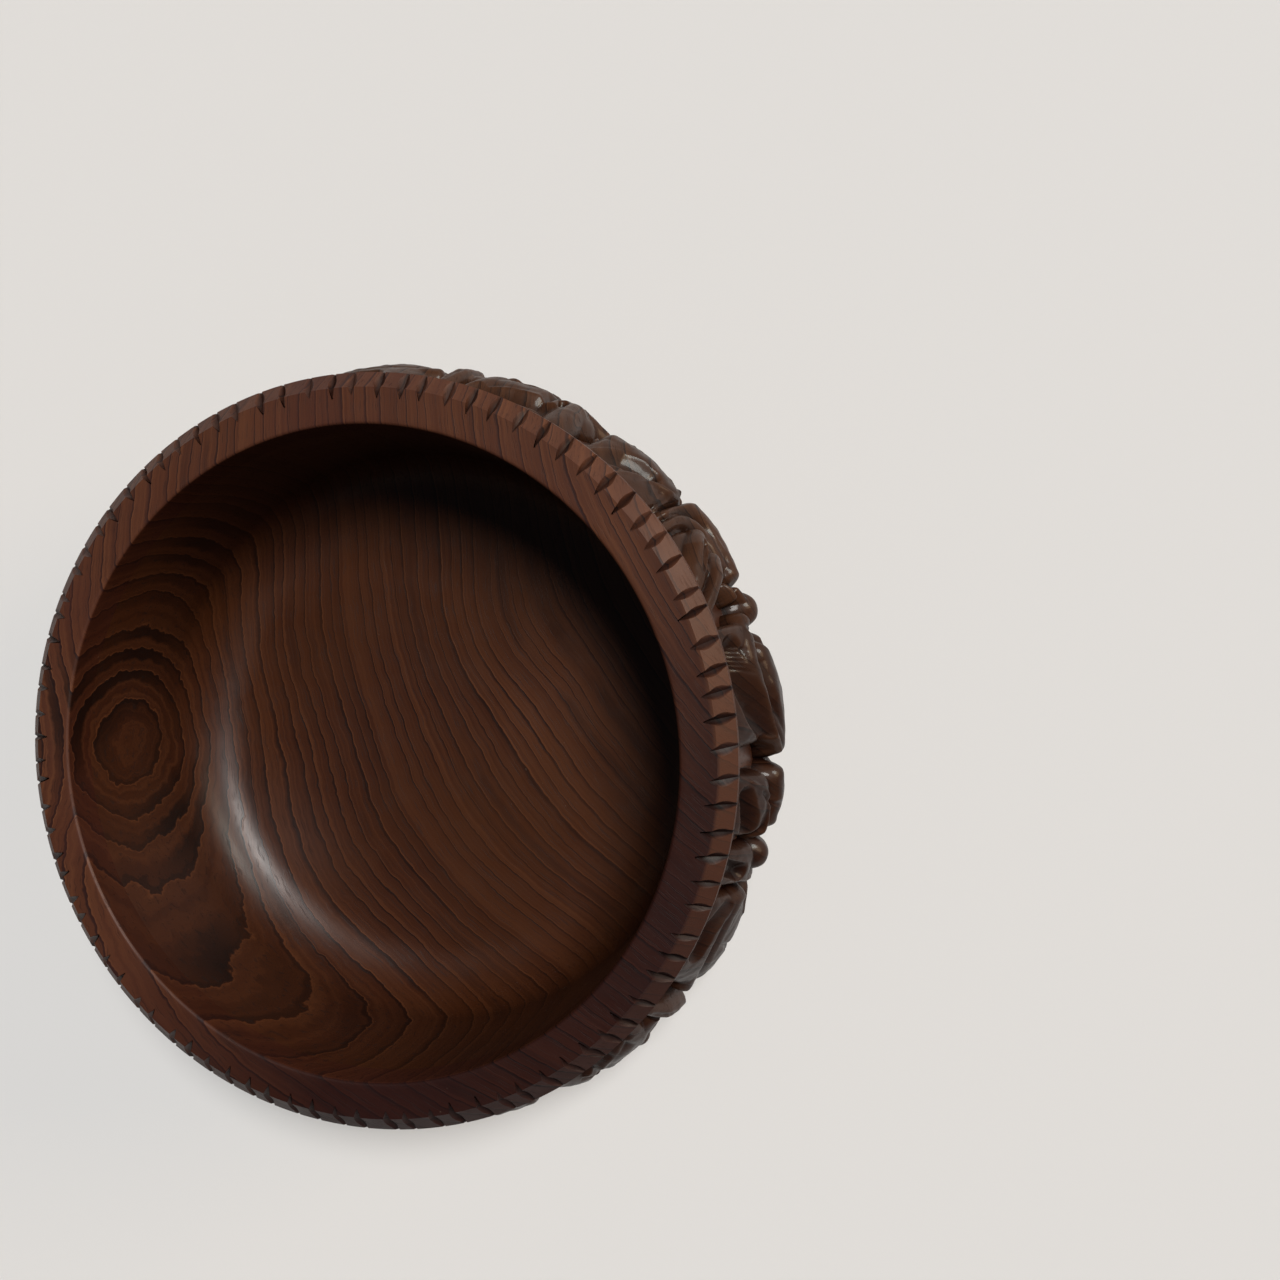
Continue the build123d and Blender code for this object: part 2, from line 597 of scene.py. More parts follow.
    def pores(self, bench: NodeBench, block: Socket, rings: Socket) -> Socket:
        """Fine open pores, drawn out along the grain.

        Args:
            bench: the material's bench.
            block: point in the block, in millimetres.
            rings: the ring coordinate.

        Returns:
            1 in a pore, 0 between them.
        """
        axes = bench.node("ShaderNodeSeparateXYZ")
        bench.feed(axes, 0, block)
        drawn = bench.node("ShaderNodeCombineXYZ")
        sources = (rings, axes.outputs[1], axes.outputs[2])
        for place, (source, scale) in enumerate(zip(sources, self.marks.pore_scales)):
            bench.feed(drawn, place, bench.times(source, scale))
        return bench.ramp(bench.noise(1.0, 2.0, 0.6, Vector=drawn.outputs[0]), self.marks.pore_edge)

    def wear(self, bench: NodeBench, block: Socket, pores: Socket, colour: Socket) -> Socket:
        """Darken pores, paint shade (with some dirt) in hollows, paint highlights on crests and lands, add
        dust.

        Args:
            bench: the material's bench.
            block: point in the block, in millimetres.
            pores: 1 in a pore.
            colour: colour so far.

        Returns:
            The worn colour.
        """
        marks = self.marks
        colour = bench.mix("MULTIPLY", bench.times(pores, marks.pore_share), colour, marks.pore_colour)
        # Painted shade in creases, notches and deep ground, with a little dirt.
        shade_and_dirt = bench.times(bench.attribute("hollow_shade_and_dirt"), self.hollow_shade_and_dirt)
        colour = bench.mix("MULTIPLY", shade_and_dirt, colour, marks.shade_and_dirt_colour)
        # Painted highlight: carved crests and the rim lands that face the warm light turn paler.
        painted_highlight_share = bench.times(bench.attribute("crest"), self.crest)
        colour = bench.mix("MIX", painted_highlight_share, colour, self.light)
        dust = bench.ramp(bench.noise(marks.dust_scale, 3.0, 0.7, Vector=block), marks.dust_edge)
        return bench.mix("MIX", bench.times(dust, marks.dust_share), colour, marks.dust_colour)

    def polish(self, bench: NodeBench, block: Socket, pores: Socket) -> Socket:
        """How rough the polish is: patchy, and duller in the pores.

        Args:
            bench: the material's bench.
            block: point in the block, in millimetres.
            pores: 1 in a pore.

        Returns:
            The roughness.
        """
        patches = bench.noise(self.marks.polish_scale, 4.0, 0.6, Vector=block)
        low, high = self.roughness
        # The noise seldom leaves a quarter to three quarters, and those are spread from low to high.
        rough = bench.sum("MULTIPLY_ADD", patches, 2.0 * (high - low), 1.5 * low - 0.5 * high)
        rough = bench.sum("MULTIPLY_ADD", pores, self.marks.pore_roughness, rough)
        if self.lining is None:
            return rough
        step = 0.5 * (sum(self.lining.roughness) - sum(self.roughness))
        return bench.sum("MULTIPLY_ADD", bench.attribute("inside"), step, rough)

    def relief(self, bench: NodeBench, block: Socket, late: Socket, pores: Socket) -> Socket:
        """Small height of the rings, the skin and the pores.

        Args:
            bench: the material's bench.
            block: point in the block, in millimetres.
            late: tone of the ring there.
            pores: 1 in a pore.

        Returns:
            The bumped normal.
        """
        marks = self.marks
        skin = bench.noise(marks.skin_scale, 5.0, 0.6, Vector=block)
        height = bench.sum("MULTIPLY_ADD", late, marks.ring_height, bench.times(skin, marks.skin_height))
        height = bench.sum("MULTIPLY_ADD", pores, marks.pore_depth, height)
        bump = bench.node("ShaderNodeBump")
        bench.feed(bump, "Strength", self.bump)
        bench.feed(bump, "Distance", marks.bump_distance * MM)
        bench.feed(bump, "Height", height)
        return bump.outputs[0]


TURNED_FINISH = WoodFinish(
    name="turned_wood",
    dark=(0.013, 0.0040, 0.0022),
    middle=(0.035, 0.0098, 0.0038),
    light=(0.088, 0.0295, 0.0112),
    streak=(0.045, 0.0130, 0.0026),
    roughness=(0.33, 0.44),
    coat=0.05,
    coat_roughness=0.26,
    specular=0.27,
    bump=0.26,
)
RIM_FINISH = WoodFinish(
    name="rim_wood",
    dark=(0.018, 0.0066, 0.0054),
    middle=(0.064, 0.0212, 0.0098),
    light=(0.130, 0.0490, 0.0205),
    streak=(0.045, 0.0125, 0.0095),
    roughness=(0.46, 0.60),
    coat=0.04,
    coat_roughness=0.30,
    specular=0.16,
    bump=0.45,
    # One side of the rim darkens: partly darker wood, partly painted shade.
    shade=1.0,
    contrast=0.68,
    # Its notches get painted shade, with a little dirt.
    hollow_shade_and_dirt=0.98,
    # Its bevel lands get painted light where they face the warm light.
    crest=0.30,
    lining=TURNED_FINISH,
)
CARVED_FINISH = WoodFinish(
    name="carved_wood",
    dark=(0.011, 0.0040, 0.0020),
    middle=(0.036, 0.0142, 0.0066),
    light=(0.078, 0.0330, 0.0155),
    streak=(0.040, 0.0142, 0.0050),
    roughness=(0.34, 0.52),
    coat=0.16,
    coat_roughness=0.11,
    specular=0.08,
    bump=0.75,
    # One side of the carving darkens: partly darker wood, partly painted shade.
    shade=0.85,
    contrast=0.75,
)


# ---------------------------------------------------------------- shared shape of the wall


@dataclass(frozen=True)
class WallShape:
    """Turned section of the bowl, measured from the frame's boxes and a few radii."""

    top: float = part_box("rim_band")[1].z / MM
    rim_low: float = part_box("rim_band")[0].z / MM
    rim_radius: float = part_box("rim_band")[1].x / MM
    foot_top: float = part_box("foot")[1].z / MM
    foot_radius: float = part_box("foot")[1].x / MM
    side_radius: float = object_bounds()[1].x / MM
    ground_centre: tuple[float, float] = (34.0, 29.0)
    ground_radius: float = 32.6
    floor_height: float = 8.0
    floor_radius: float = 44.0
    cove_radius: float = 12.0
    mouth_radius: float = 57.6

    def ground(self, level: np.ndarray | float) -> np.ndarray | float:
        """Radius of the ground that the carving stands on.

        Args:
            level: height, in millimetres.

        Returns:
            Distance from the axis.
        """
        centre, middle = self.ground_centre
        return centre + np.sqrt(self.ground_radius**2 - (level - middle) ** 2)

    def inner(self, level: float) -> float:
        """Radius of the straight inner wall.

        Args:
            level: height, in millimetres, above the cove.

        Returns:
            Distance from the axis.
        """
        low = self.floor_height + self.cove_radius
        low_radius = self.floor_radius + self.cove_radius
        return low_radius + (self.mouth_radius - low_radius) * (level - low) / (self.top - low)


WALL = WallShape()


def finish_piece(mesh: bpy.types.Mesh, name: str, nodes: list[str], wood: Wood) -> None:
    """Make the object of one finished mesh, dress it and tie it to the frame.

    Args:
        mesh: closed mesh in metres, in the frame's own place.
        name: the piece's name.
        nodes: frame nodes that it stands for.
        wood: its material.
    """
    piece = bpy.data.objects.new(name, mesh)
    bpy.context.scene.collection.objects.link(piece)
    mesh.materials.append(wood)
    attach(piece, BODY)
    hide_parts(*nodes)
    log.info("%s: %d faces, stands for %s", name, len(mesh.polygons), ", ".join(nodes))


def close_and_shade(shape: bmesh.types.BMesh, name: str, crease: float) -> bpy.types.Mesh:
    """Turn the faces outwards, keep hard corners hard and write the mesh.

    Args:
        shape: the finished bmesh, in metres. It is freed.
        name: name of the mesh.
        crease: edges that turn more than this many degrees stay sharp.

    Returns:
        The mesh.
    """
    bmesh.ops.recalc_face_normals(shape, faces=shape.faces)
    for face in shape.faces:
        face.smooth = True
    for edge in shape.edges:
        edge.smooth = edge.calc_face_angle(0.0) < math.radians(crease)
    mesh = bpy.data.meshes.new(name)
    shape.to_mesh(mesh)
    shape.free()
    return mesh


@dataclass
class Lathe:
    """Spins a section round the upright axis."""

    steps: int = 360
    merge: float = 1e-7

    def spin(self, section: Section) -> bmesh.types.BMesh:
        """Spin one closed section, or one that starts and ends on the axis.

        Args:
            section: radius and height of each point, in millimetres.

        Returns:
            The spun bmesh, in metres.
        """
        shape = bmesh.new()
        points = [shape.verts.new((radius * MM, 0.0, level * MM)) for radius, level in section]
        on_axis = section[0][0] == 0.0
        ends = zip(points, points[1:] + ([] if on_axis else points[:1]))
        edges = [shape.edges.new(pair) for pair in ends]
        bmesh.ops.spin(
            shape,
            geom=points + edges,
            cent=(0, 0, 0),
            axis=(0, 0, 1),
            angle=math.tau,
            steps=self.steps,
            use_merge=True,
        )
        bmesh.ops.remove_doubles(shape, verts=shape.verts, dist=self.merge)
        return shape


def arc(centre: tuple[float, float], radius: float, start: float, end: float, count: int) -> Section:
    """Points along an arc of a section.

    Args:
        centre: radius and height of its centre.
        radius: its radius.
        start: first angle, in degrees.
        end: last angle, in degrees.
        count: number of points.

    Returns:
        Radius and height of each point.
    """
    angles = np.radians(np.linspace(start, end, count))
    return [(centre[0] + radius * math.cos(a), centre[1] + radius * math.sin(a)) for a in angles]


# ---------------------------------------------------------------- turned pieces


@dataclass
class TurnedBody:
    """Floor, coved corner and wall, turned on a lathe, with the plain ground outside under the carving."""

    lathe: Lathe = field(default_factory=Lathe)
    floor_rings: int = 12
    cove_points: int = 20
    wall_points: int = 14
    ground_points: int = 48
    crease: float = 35.0

    def section(self) -> Section:
        """Section from the middle of the floor, over the wall and down to the middle of the underside.

        Returns:
            Radius and height of each point, in millimetres.
        """
        floor = [
            (radius, WALL.floor_height)
            for radius in np.linspace(0.0, WALL.floor_radius, self.floor_rings, endpoint=False)
        ]
        centre = (WALL.floor_radius, WALL.floor_height + WALL.cove_radius)
        cove = arc(centre, WALL.cove_radius, -90.0, 0.0, self.cove_points)
        levels = np.linspace(centre[1], WALL.rim_low, self.wall_points)[1:]
        wall = [(WALL.inner(level), level) for level in levels]
        down = np.linspace(WALL.rim_low, WALL.foot_top, self.ground_points)
        ground = [(float(WALL.ground(level)), level) for level in down]
        return [(float(r), float(z)) for r, z in floor + cove + wall + ground + [(0.0, WALL.foot_top)]]

    def build(self, wood: Wood) -> None:
        """Spin and dress the body.

        Args:
            wood: its material.
        """
        mesh = close_and_shade(self.lathe.spin(self.section()), "bowl_body", self.crease)
        finish_piece(mesh, "turned_bowl", ["bowl_body"], wood)


@dataclass
class Foot:
    """Flat foot disc with a worn lower edge."""

    lathe: Lathe = field(default_factory=Lathe)
    edge_round: float = 0.8
    edge_points: int = 6
    rings: int = 8
    crease: float = 35.0

    def build(self, wood: Wood) -> None:
        """Spin and dress the foot.

        Args:
            wood: its material.
        """
        centre = (WALL.foot_radius - self.edge_round, self.edge_round)
        edge = arc(centre, self.edge_round, -90.0, 0.0, self.edge_points)
        rings = [(radius, 0.0) for radius in np.linspace(0.0, centre[0], self.rings, endpoint=False)]
        section = rings + edge + [(WALL.foot_radius, WALL.foot_top), (0.0, WALL.foot_top)]
        section = [(float(r), float(z)) for r, z in section]
        mesh = close_and_shade(self.lathe.spin(section), "foot", self.crease)
        finish_piece(mesh, "turned_foot", ["foot"], wood)


@dataclass
class NotchedRim:
    """Flat rim whose bevelled outer edge is cut across by a ring of hand-made notches."""

    notches: int = 90
    columns: int = 10
    half_width: float = 0.92
    depth: float = 1.15
    flat_radius: float = 64.0
    flat_points: int = 9
    bevel_drop: float = 3.0
    bevel_points: int = 7
    skirt_drops: Triple = (0.35, 0.9, 1.5)
    mouth_round: float = 0.6
    mouth_points: int = 6
    wall_points: int = 6
    pitch_wander: float = 0.16
    depth_wander: float = 0.28
    width_wander: float = 0.22
    lean: float = 0.55
    lean_wander: float = 0.5
    lean_share: float = 0.35
    flank: tuple[float, ...] = (-1.0, -0.62, -0.28, 0.0, 0.28, 0.62, 1.0)
    flank_power: float = 0.8
    lens_start: float = 0.8
    lens_length: float = 3.9
    lens_ends: tuple[float, float] = (0.14, 0.90)
    lip: float = 1.7
    low_margin: float = 0.2
    mouth_skin: float = 0.12
    # How dark the notches are painted: painted shade in the slots, with a little dirt.
    shade_and_dirt: float = 0.95
    shade_and_dirt_margin: float = 0.1
    outer_fade: float = 0.68
    skirt_pull: float = 0.35
    # Side whose bevel lands get painted light from the warm light, and how fast it falls off.
    lit_side: float = 0.12
    lit_side_power: int = 4
    level_slack: float = 1e-4
    crease: float = 32.0
    seed: int = 7

    def section(self) -> Section:
        """Section of the rim before it is notched, closed, from the mouth over the top and back.

        Returns:
            Radius and height of each point, in millimetres.
        """
        centre = (WALL.mouth_radius + self.mouth_round, WALL.top - self.mouth_round)
        mouth = arc(centre, self.mouth_round, 178.0, 90.0, self.mouth_points)
        radii = np.linspace(centre[0], self.flat_radius, self.flat_points)[1:]
        flat = [(radius, WALL.top) for radius in radii]
        bevel = [
            (self.flat_radius + share * self.bevel_drop, WALL.top - share * self.bevel_drop)
            for share in np.linspace(0.0, 1.0, self.bevel_points)[1:]
        ]
        low = float(WALL.rim_low)
        skirt = [(WALL.rim_radius, WALL.top - self.bevel_drop - drop) for drop in self.skirt_drops]
        under = [(float(WALL.ground(low)), low), (WALL.inner(low), low)]
        levels = np.linspace(low, centre[1], self.wall_points)[1:-1]
        wall = [(WALL.inner(level), level) for level in levels]
        return [(float(r), float(z)) for r, z in mouth + flat + bevel + skirt + under + wall]

    def cut(self, shape: bmesh.types.BMesh) -> None:
        """Move the spun points so that the columns crowd at each notch, and sink the notches.

        Args:
            shape: the spun rim, in metres.
        """
        chance = np.random.default_rng(self.seed)
        wander = chance.uniform(-self.pitch_wander, self.pitch_wander, self.notches)
        deep = self.depth * (1 + chance.uniform(-self.depth_wander, self.depth_wander, self.notches))
        wide = self.half_width * (1 + chance.uniform(-self.width_wander, self.width_wander, self.notches))
        slant = self.lean * (1 + chance.uniform(-self.lean_wander, self.lean_wander, self.notches))
        pitch = math.tau / self.notches
        middle_radius = self.flat_radius + self.bevel_drop / 2
        half = len(self.flank) // 2
        hollow_shade_and_dirt = shape.verts.layers.float.new("hollow_shade_and_dirt")
        inside = shape.verts.layers.float.new("inside")
        crest = shape.verts.layers.float.new("crest")
        for vert in shape.verts:
            radius, level = math.hypot(vert.co.x, vert.co.y) / MM, vert.co.z / MM
            vert[inside] = float(radius < WALL.mouth_radius + self.mouth_skin)
            turn = math.atan2(vert.co.y, vert.co.x) % math.tau
            column = round(turn / pitch * self.columns) % (self.notches * self.columns)
            number, step = divmod(column, self.columns)
            outer = radius > self.flat_radius - self.lip and level > WALL.rim_low + self.low_margin
            here = (number + wander[number] + 0.5) * pitch
            after = (number + 1 + wander[(number + 1) % self.notches] + 0.5) * pitch
            if step <= half:
                angle, offset, owner = here, self.flank[half + step], number
            elif step >= self.columns - half:
                owner = (number + 1) % self.notches
                angle, offset = after, self.flank[half - (self.columns - step)]
            else:
                first = here + wide[number] / middle_radius
                last = after - wide[(number + 1) % self.notches] / middle_radius
                share = (step - half) / (self.columns - 2 * half)
                angle, offset, owner = first + (last - first) * share, None, number
            sink = 0.0
            if offset is not None:
                skew = slant[owner] * (radius - middle_radius) / middle_radius * (1.0 if outer else 0.0)
                lens = self.lens(radius) if outer else 1.0
                angle += (offset * wide[owner] * lens / middle_radius) + skew * self.lean_share
                sink = deep[owner] * (1 - abs(offset)) ** self.flank_power
            if outer:
                # Bevel lands that face the warm light get painted light.
                bevel = radius > self.flat_radius and sink == 0.0
                vert[crest] = max(0.0, math.cos(turn - self.lit_side)) ** self.lit_side_power if bevel else 0.0
                # The notch slots get painted shade, with a little dirt.
                shaded_and_dirty = self.shade_and_dirt if radius > self.flat_radius - self.shade_and_dirt_margin else 0.0
                vert[hollow_shade_and_dirt] = min(1.0, sink / self.depth) * shaded_and_dirty
                radius, level = self.sunk(radius, level, sink)
            vert.co = Vector((radius * math.cos(angle), radius * math.sin(angle), level)) * MM

    def lens(self, radius: float) -> float:
        """How wide a notch is along its length, as a share of its greatest width.

        Args:
            radius: distance from the axis, in millimetres.

        Returns:
            The share, which is small at both ends.
        """
        share = (radius - self.flat_radius + self.lens_start) / self.lens_length
        low, high = self.lens_ends
        return math.sin(math.pi * min(max(share, low), high)) ** self.flank_power

    def sunk(self, radius: float, level: float, sink: float) -> tuple[float, float]:
        """Where a point of the section goes when the bevel there is sunk.

        Args:
            radius: its radius before.
            level: its height before.
            sink: how deep the notch is there, square to the bevel.

        Returns:
            Its new radius and height.
        """
        drop = sink * math.sqrt(2.0)
        crest = self.flat_radius - drop
        if level >= WALL.top - self.level_slack:
            inner = self.flat_radius - self.lip
            share = max(0.0, (radius - inner) / self.lip)
            return inner + (crest - inner) * share, WALL.top
        foot = WALL.top - self.bevel_drop
        if level >= foot - self.level_slack:
            share = (radius - self.flat_radius) / self.bevel_drop
            moved = crest + (WALL.rim_radius - crest) * share
            return moved, WALL.top - (moved - self.flat_radius) - drop * (1 - self.outer_fade * share)
        fallen = drop * (1 - self.outer_fade)
        share = (foot - level) / (foot - WALL.rim_low)
        return radius - fallen * self.skirt_pull * (1 - share), level - fallen * (1 - share)

    def build(self, wood: Wood) -> None:
        """Spin, notch and dress the rim.

        Args:
            wood: its material.
        """
        lathe = Lathe(steps=self.notches * self.columns)
        shape = lathe.spin(self.section())
        self.cut(shape)
        mesh = close_and_shade(shape, "rim_band", self.crease)
        finish_piece(mesh, "notched_rim", ["rim_band"], wood)


# ---------------------------------------------------------------- carved frieze


@dataclass(frozen=True)
class Stroke:
    """One pass of the carver along a smooth line on the unrolled belly.

    Points are (degrees clockwise from the start of the repeat, height in millimetres).
    """

    cut: Cut
    line: Line
    width: tuple[float, ...]
    height: tuple[float, ...]
    square: float = 2.0
    softness: float = 0.25


BELLY_RADIUS = 68.0
MM_PER_DEGREE = math.radians(1.0) * BELLY_RADIUS
SCOOP_REACH = 1.3
GROOVE_START = 0.3
GROOVE_END = 0.2


def smooth_line(points: np.ndarray, per_span: int = 10) -> np.ndarray:
    """A Catmull-Rom curve through points.

    Args:
        points: the points to pass through, one row each.
        per_span: samples from one point to the next.

    Returns:
        The sampled rows.
    """
    if len(points) == 2:
        share = np.linspace(0.0, 1.0, per_span)[:, None]
        return points[0] + (points[1] - points[0]) * share
    padded = np.vstack([2 * points[0] - points[1], points, 2 * points[-1] - points[-2]])
    rows = []
    for a, b, c, d in zip(padded, padded[1:], padded[2:], padded[3:]):
        t = np.linspace(0.0, 1.0, per_span, endpoint=False)[:, None]
        bend = (2 * a - 5 * b + 4 * c - d) * t**2
        rows.append(0.5 * (2 * b + (c - a) * t + bend + (3 * b - a - 3 * c + d) * t**3))
    return np.vstack(rows + [points[-1:]])


def soft_max(a: np.ndarray, b: np.ndarray, softness: float) -> np.ndarray:
    """The higher of two surfaces, with the corner between them rounded."""
    return 0.5 * (a + b + np.sqrt((a - b) ** 2 + softness**2))


def soft_min(a: np.ndarray, b: np.ndarray, softness: float) -> np.ndarray:
    """The lower of two surfaces, with the corner between them rounded."""
    return 0.5 * (a + b - np.sqrt((a - b) ** 2 + softness**2))


@dataclass
class Relief:
    """Height of the carving over the ground, made by strokes one after the other."""

    strokes: list[Stroke]
    floor: float = -0.9
    deepest: float = -1.1
    scoop_brim: float = 6.5
    far: float = 1e9
    tiny: float = 1e-9
    thinnest: float = 1e-3

    def height(self, degrees: np.ndarray, level: np.ndarray) -> np.ndarray:
        """Height over the ground at many places.

        Args:
            degrees: degrees clockwise from the start of the repeat.
            level: height above the table, in millimetres.

        Returns:
            The height at each place, in millimetres.
        """
        across, up = degrees * MM_PER_DEGREE, level
        result = np.full(across.shape, self.floor)
        low, high = across.min(), across.max()
        for stroke in self.strokes:
            rows = np.array([(d * MM_PER_DEGREE, z) for d, z in stroke.line])
            reach = max(stroke.width) * SCOOP_REACH
            if rows[:, 0].max() + reach < low or rows[:, 0].min() - reach > high:
                continue
            result = self.apply(stroke, rows, across, up, result)
        return np.maximum(result, self.deepest)

    def apply(
        self, stroke: Stroke, rows: np.ndarray, across: np.ndarray, up: np.ndarray, result: np.ndarray
    ) -> np.ndarray:
        """One stroke on the surface so far.

        Args:
            stroke: the stroke.
            rows: its points on the unrolled belly, in millimetres.
            across: place round the belly.
            up: height above the table.
            result: the surface so far.

        Returns:
            The surface after the stroke.
        """
        curve = smooth_line(rows)
        along = np.linspace(0.0, 1.0, len(curve))
        near = np.full(across.shape, self.far)
        share = np.zeros(across.shape)
        for (ax, az), (bx, bz), start, end in zip(curve, curve[1:], along, along[1:]):
            dx, dz = bx - ax, bz - az
            t = ((across - ax) * dx + (up - az) * dz) / (dx * dx + dz * dz + self.tiny)
            t = np.clip(t, 0.0, 1.0)
            distance = np.hypot(across - ax - t * dx, up - az - t * dz)
            closer = distance < near
            near = np.where(closer, distance, near)
            share = np.where(closer, start + (end - start) * t, share)
        stops = np.linspace(0.0, 1.0, len(stroke.width))
        wide = np.interp(share, stops, stroke.width)
        tall = np.interp(share, np.linspace(0.0, 1.0, len(stroke.height)), stroke.height)
        out = near / np.maximum(wide, self.thinnest)
        if stroke.cut is Cut.RAISE:
            dome = np.clip(1.0 - out**stroke.square, 0.0, 1.0) ** (1.0 / stroke.square)
            bulk = self.floor + (tall - self.floor) * dome
            return np.where(out < 1.0, soft_max(result, bulk, stroke.softness), result)
        if stroke.cut is Cut.SCOOP:
            hollow = tall + (self.scoop_brim - tall) * out**stroke.square
            return np.where(out < SCOOP_REACH, soft_min(result, hollow, stroke.softness), result)
        return result - tall * np.clip(1.0 - out, 0.0, 1.0) ** stroke.square


def raise_(line: Line, width: tuple, height: tuple, square: float = 2.2, softness: float = 0.14) -> Stroke:
    """A rounded swelling along a line."""
    return Stroke(Cut.RAISE, line, width, height, square, softness)


def scoop(line: Line, width: tuple, height: tuple, square: float = 2.0, softness: float = 0.08) -> Stroke:
    """A round gouge along a line, which leaves sharp edges."""
    return Stroke(Cut.SCOOP, line, width, height, square, softness)


def groove(line: Line, width: float, depth: float, square: float = 1.3) -> Stroke:
    """A cut of the parting tool along a line, which fades at its ends."""
    return Stroke(Cut.GROOVE, line, (width, width), (depth * GROOVE_START, depth, depth * GROOVE_END), square)


@dataclass(frozen=True)
class LeafBlade:
    """Lower part of a leaf: a tapering blade with side lobes, a raised midrib and cut veins."""

    middle: float
    half: float
    top: float
    tip: float
    lean: float
    lobes: int
    swell: float = 4.6
    spine_shares: tuple[float, ...] = (0.0, 0.35, 0.7, 1.0)
    width_shares: tuple[float, ...] = (0.96, 0.90, 0.66, 0.16)
    height_shares: tuple[float, ...] = (1.0, 0.86, 0.62, 0.35)
    taper: float = 0.46

    def strokes(self) -> list[Stroke]:
        """The strokes that carve the blade.

        Returns:
            Blade, side lobes, midrib and veins, in carving order.
        """
        spine = tuple(self.on_spine(share) for share in self.spine_shares)
        wide = self.half * MM_PER_DEGREE
        widths = tuple(wide * share for share in self.width_shares)
        made = [raise_(spine, widths, tuple(self.swell * share for share in self.height_shares), 2.6)]
        for number in range(self.lobes):
            share = (number + 0.25) / (self.lobes + 0.35)
            for side in (-1.0, 1.0):
                made += self.side_lobe(share, side)
        rib = (self.swell * 0.9, self.swell * 0.8, 1.6)
        made.append(raise_(spine, (1.5, 1.2, 0.5), rib, 1.7, 0.2))
        for side in (-1.0, 1.0):
            made.append(groove(self.beside_rib(spine, side), 0.7, 0.7))
        return made

    def on_spine(self, share: float) -> tuple[float, float]:
        """Place of a point of the midrib, from 0 at its top to 1 at the tip."""
        return self.middle + self.lean * share, self.top + (self.tip - self.top) * share

    def side_lobe(self, share: float, side: float) -> list[Stroke]:
        """One lobe that springs from the midrib and hangs outwards, with the vein down its middle.

        Args:
            share: how far down the midrib it springs.
            side: -1 for the left, 1 for the right.

        Returns:
            The swelling and its vein.
        """
        centre, level = self.on_spine(share)
        reach = self.half * (0.94 - self.taper * share)
        fall = 2.4 + 1.8 * share
        tall = self.swell * (1.0 - self.taper * share)
        size = (2.0, 3.3 - 1.0 * share, 2.5 - 0.8 * share)
        root = (centre, level + 1.2)
        bend = (centre + side * reach * 0.55, level - fall * 0.25)
        end = (centre + side * reach, level - fall)
        swelling = raise_((root, bend, end), size, (tall * 0.82, tall * 1.03, tall * 0.78), 2.3, 0.12)
        return [swelling, groove((root, bend, end), 0.75, 0.65)]

    def beside_rib(self, spine: Line, side: float) -> Line:
        """Line of the cut beside the midrib, which closes in on it towards the tip.

        Args:
            spine: points of the midrib.
            side: -1 for the left, 1 for the right.

        Returns:
            Points of the cut.
        """
        made = []
        for (degree, level), share in zip(spine, self.spine_shares):
            made.append((degree + side * 1.35 * (1.05 - 0.9 * share), level))
        return tuple(made)


def frieze_strokes() -> list[Stroke]:
    """Every stroke of one third of the frieze, in carving order.

    Returns:
        Strokes of the nine motifs.
    """
    blades = [
        LeafBlade(10.6, 10.2, 27.5, 7.0, 1.6, 4, 4.9),
        LeafBlade(29.2, 7.0, 27.0, 9.0, -1.0, 3, 4.6),
        LeafBlade(44.0, 7.0, 25.0, 6.0, 0.8, 3, 4.8),
        LeafBlade(67.6, 9.6, 25.0, 6.0, -1.6, 4, 5.0),
        LeafBlade(83.4, 5.2, 25.0, 8.0, 0.8, 3, 4.6),
        LeafBlade(105.8, 9.2, 27.0, 6.5, 1.4, 4, 4.8),
    ]
    strokes = [stroke for blade in blades for stroke in blade.strokes()]
    strokes += long_leaf_head() + ribbed_leaf_head() + fan_scroll_head()
    strokes += lobed_leaf_head() + curled_leaf_head() + small_bud_head() + broad_leaf_head()
    return strokes + valleys()


def valleys() -> list[Stroke]:
    """Deep cuts that part the motifs where their outlines meet on the belly.

    Returns:
        One groove between each pair of neighbours.
    """
    return [
        groove(((22.4, 40.0), (22.2, 34.0), (22.0, 28.0), (22.4, 18.0)), 1.7, 2.2, 1.7),
        groove(((37.4, 43.0), (37.2, 36.0), (37.2, 30.0), (37.0, 20.0)), 1.7, 3.0, 1.7),
        groove(((50.6, 34.0), (51.0, 29.0), (51.4, 24.0), (51.0, 14.0)), 1.7, 3.0, 1.7),
        groove(((58.2, 34.0), (58.6, 30.0), (58.2, 26.0), (58.4, 14.0)), 1.7, 2.6, 1.7),
        groove(((78.2, 42.0), (77.8, 34.0), (77.6, 28.0), (77.8, 16.0)), 1.7, 2.8, 1.7),
        groove(((89.0, 42.0), (88.8, 34.0), (88.4, 28.0), (88.8, 14.0)), 1.7, 2.6, 1.7),
        groove(((96.2, 42.0), (96.4, 34.0), (96.4, 28.0), (96.2, 16.0)), 1.7, 2.6, 1.7),
        groove(((115.4, 42.0), (115.2, 34.0), (115.2, 26.0), (115.6, 16.0)), 1.7, 2.2, 1.7),
    ]


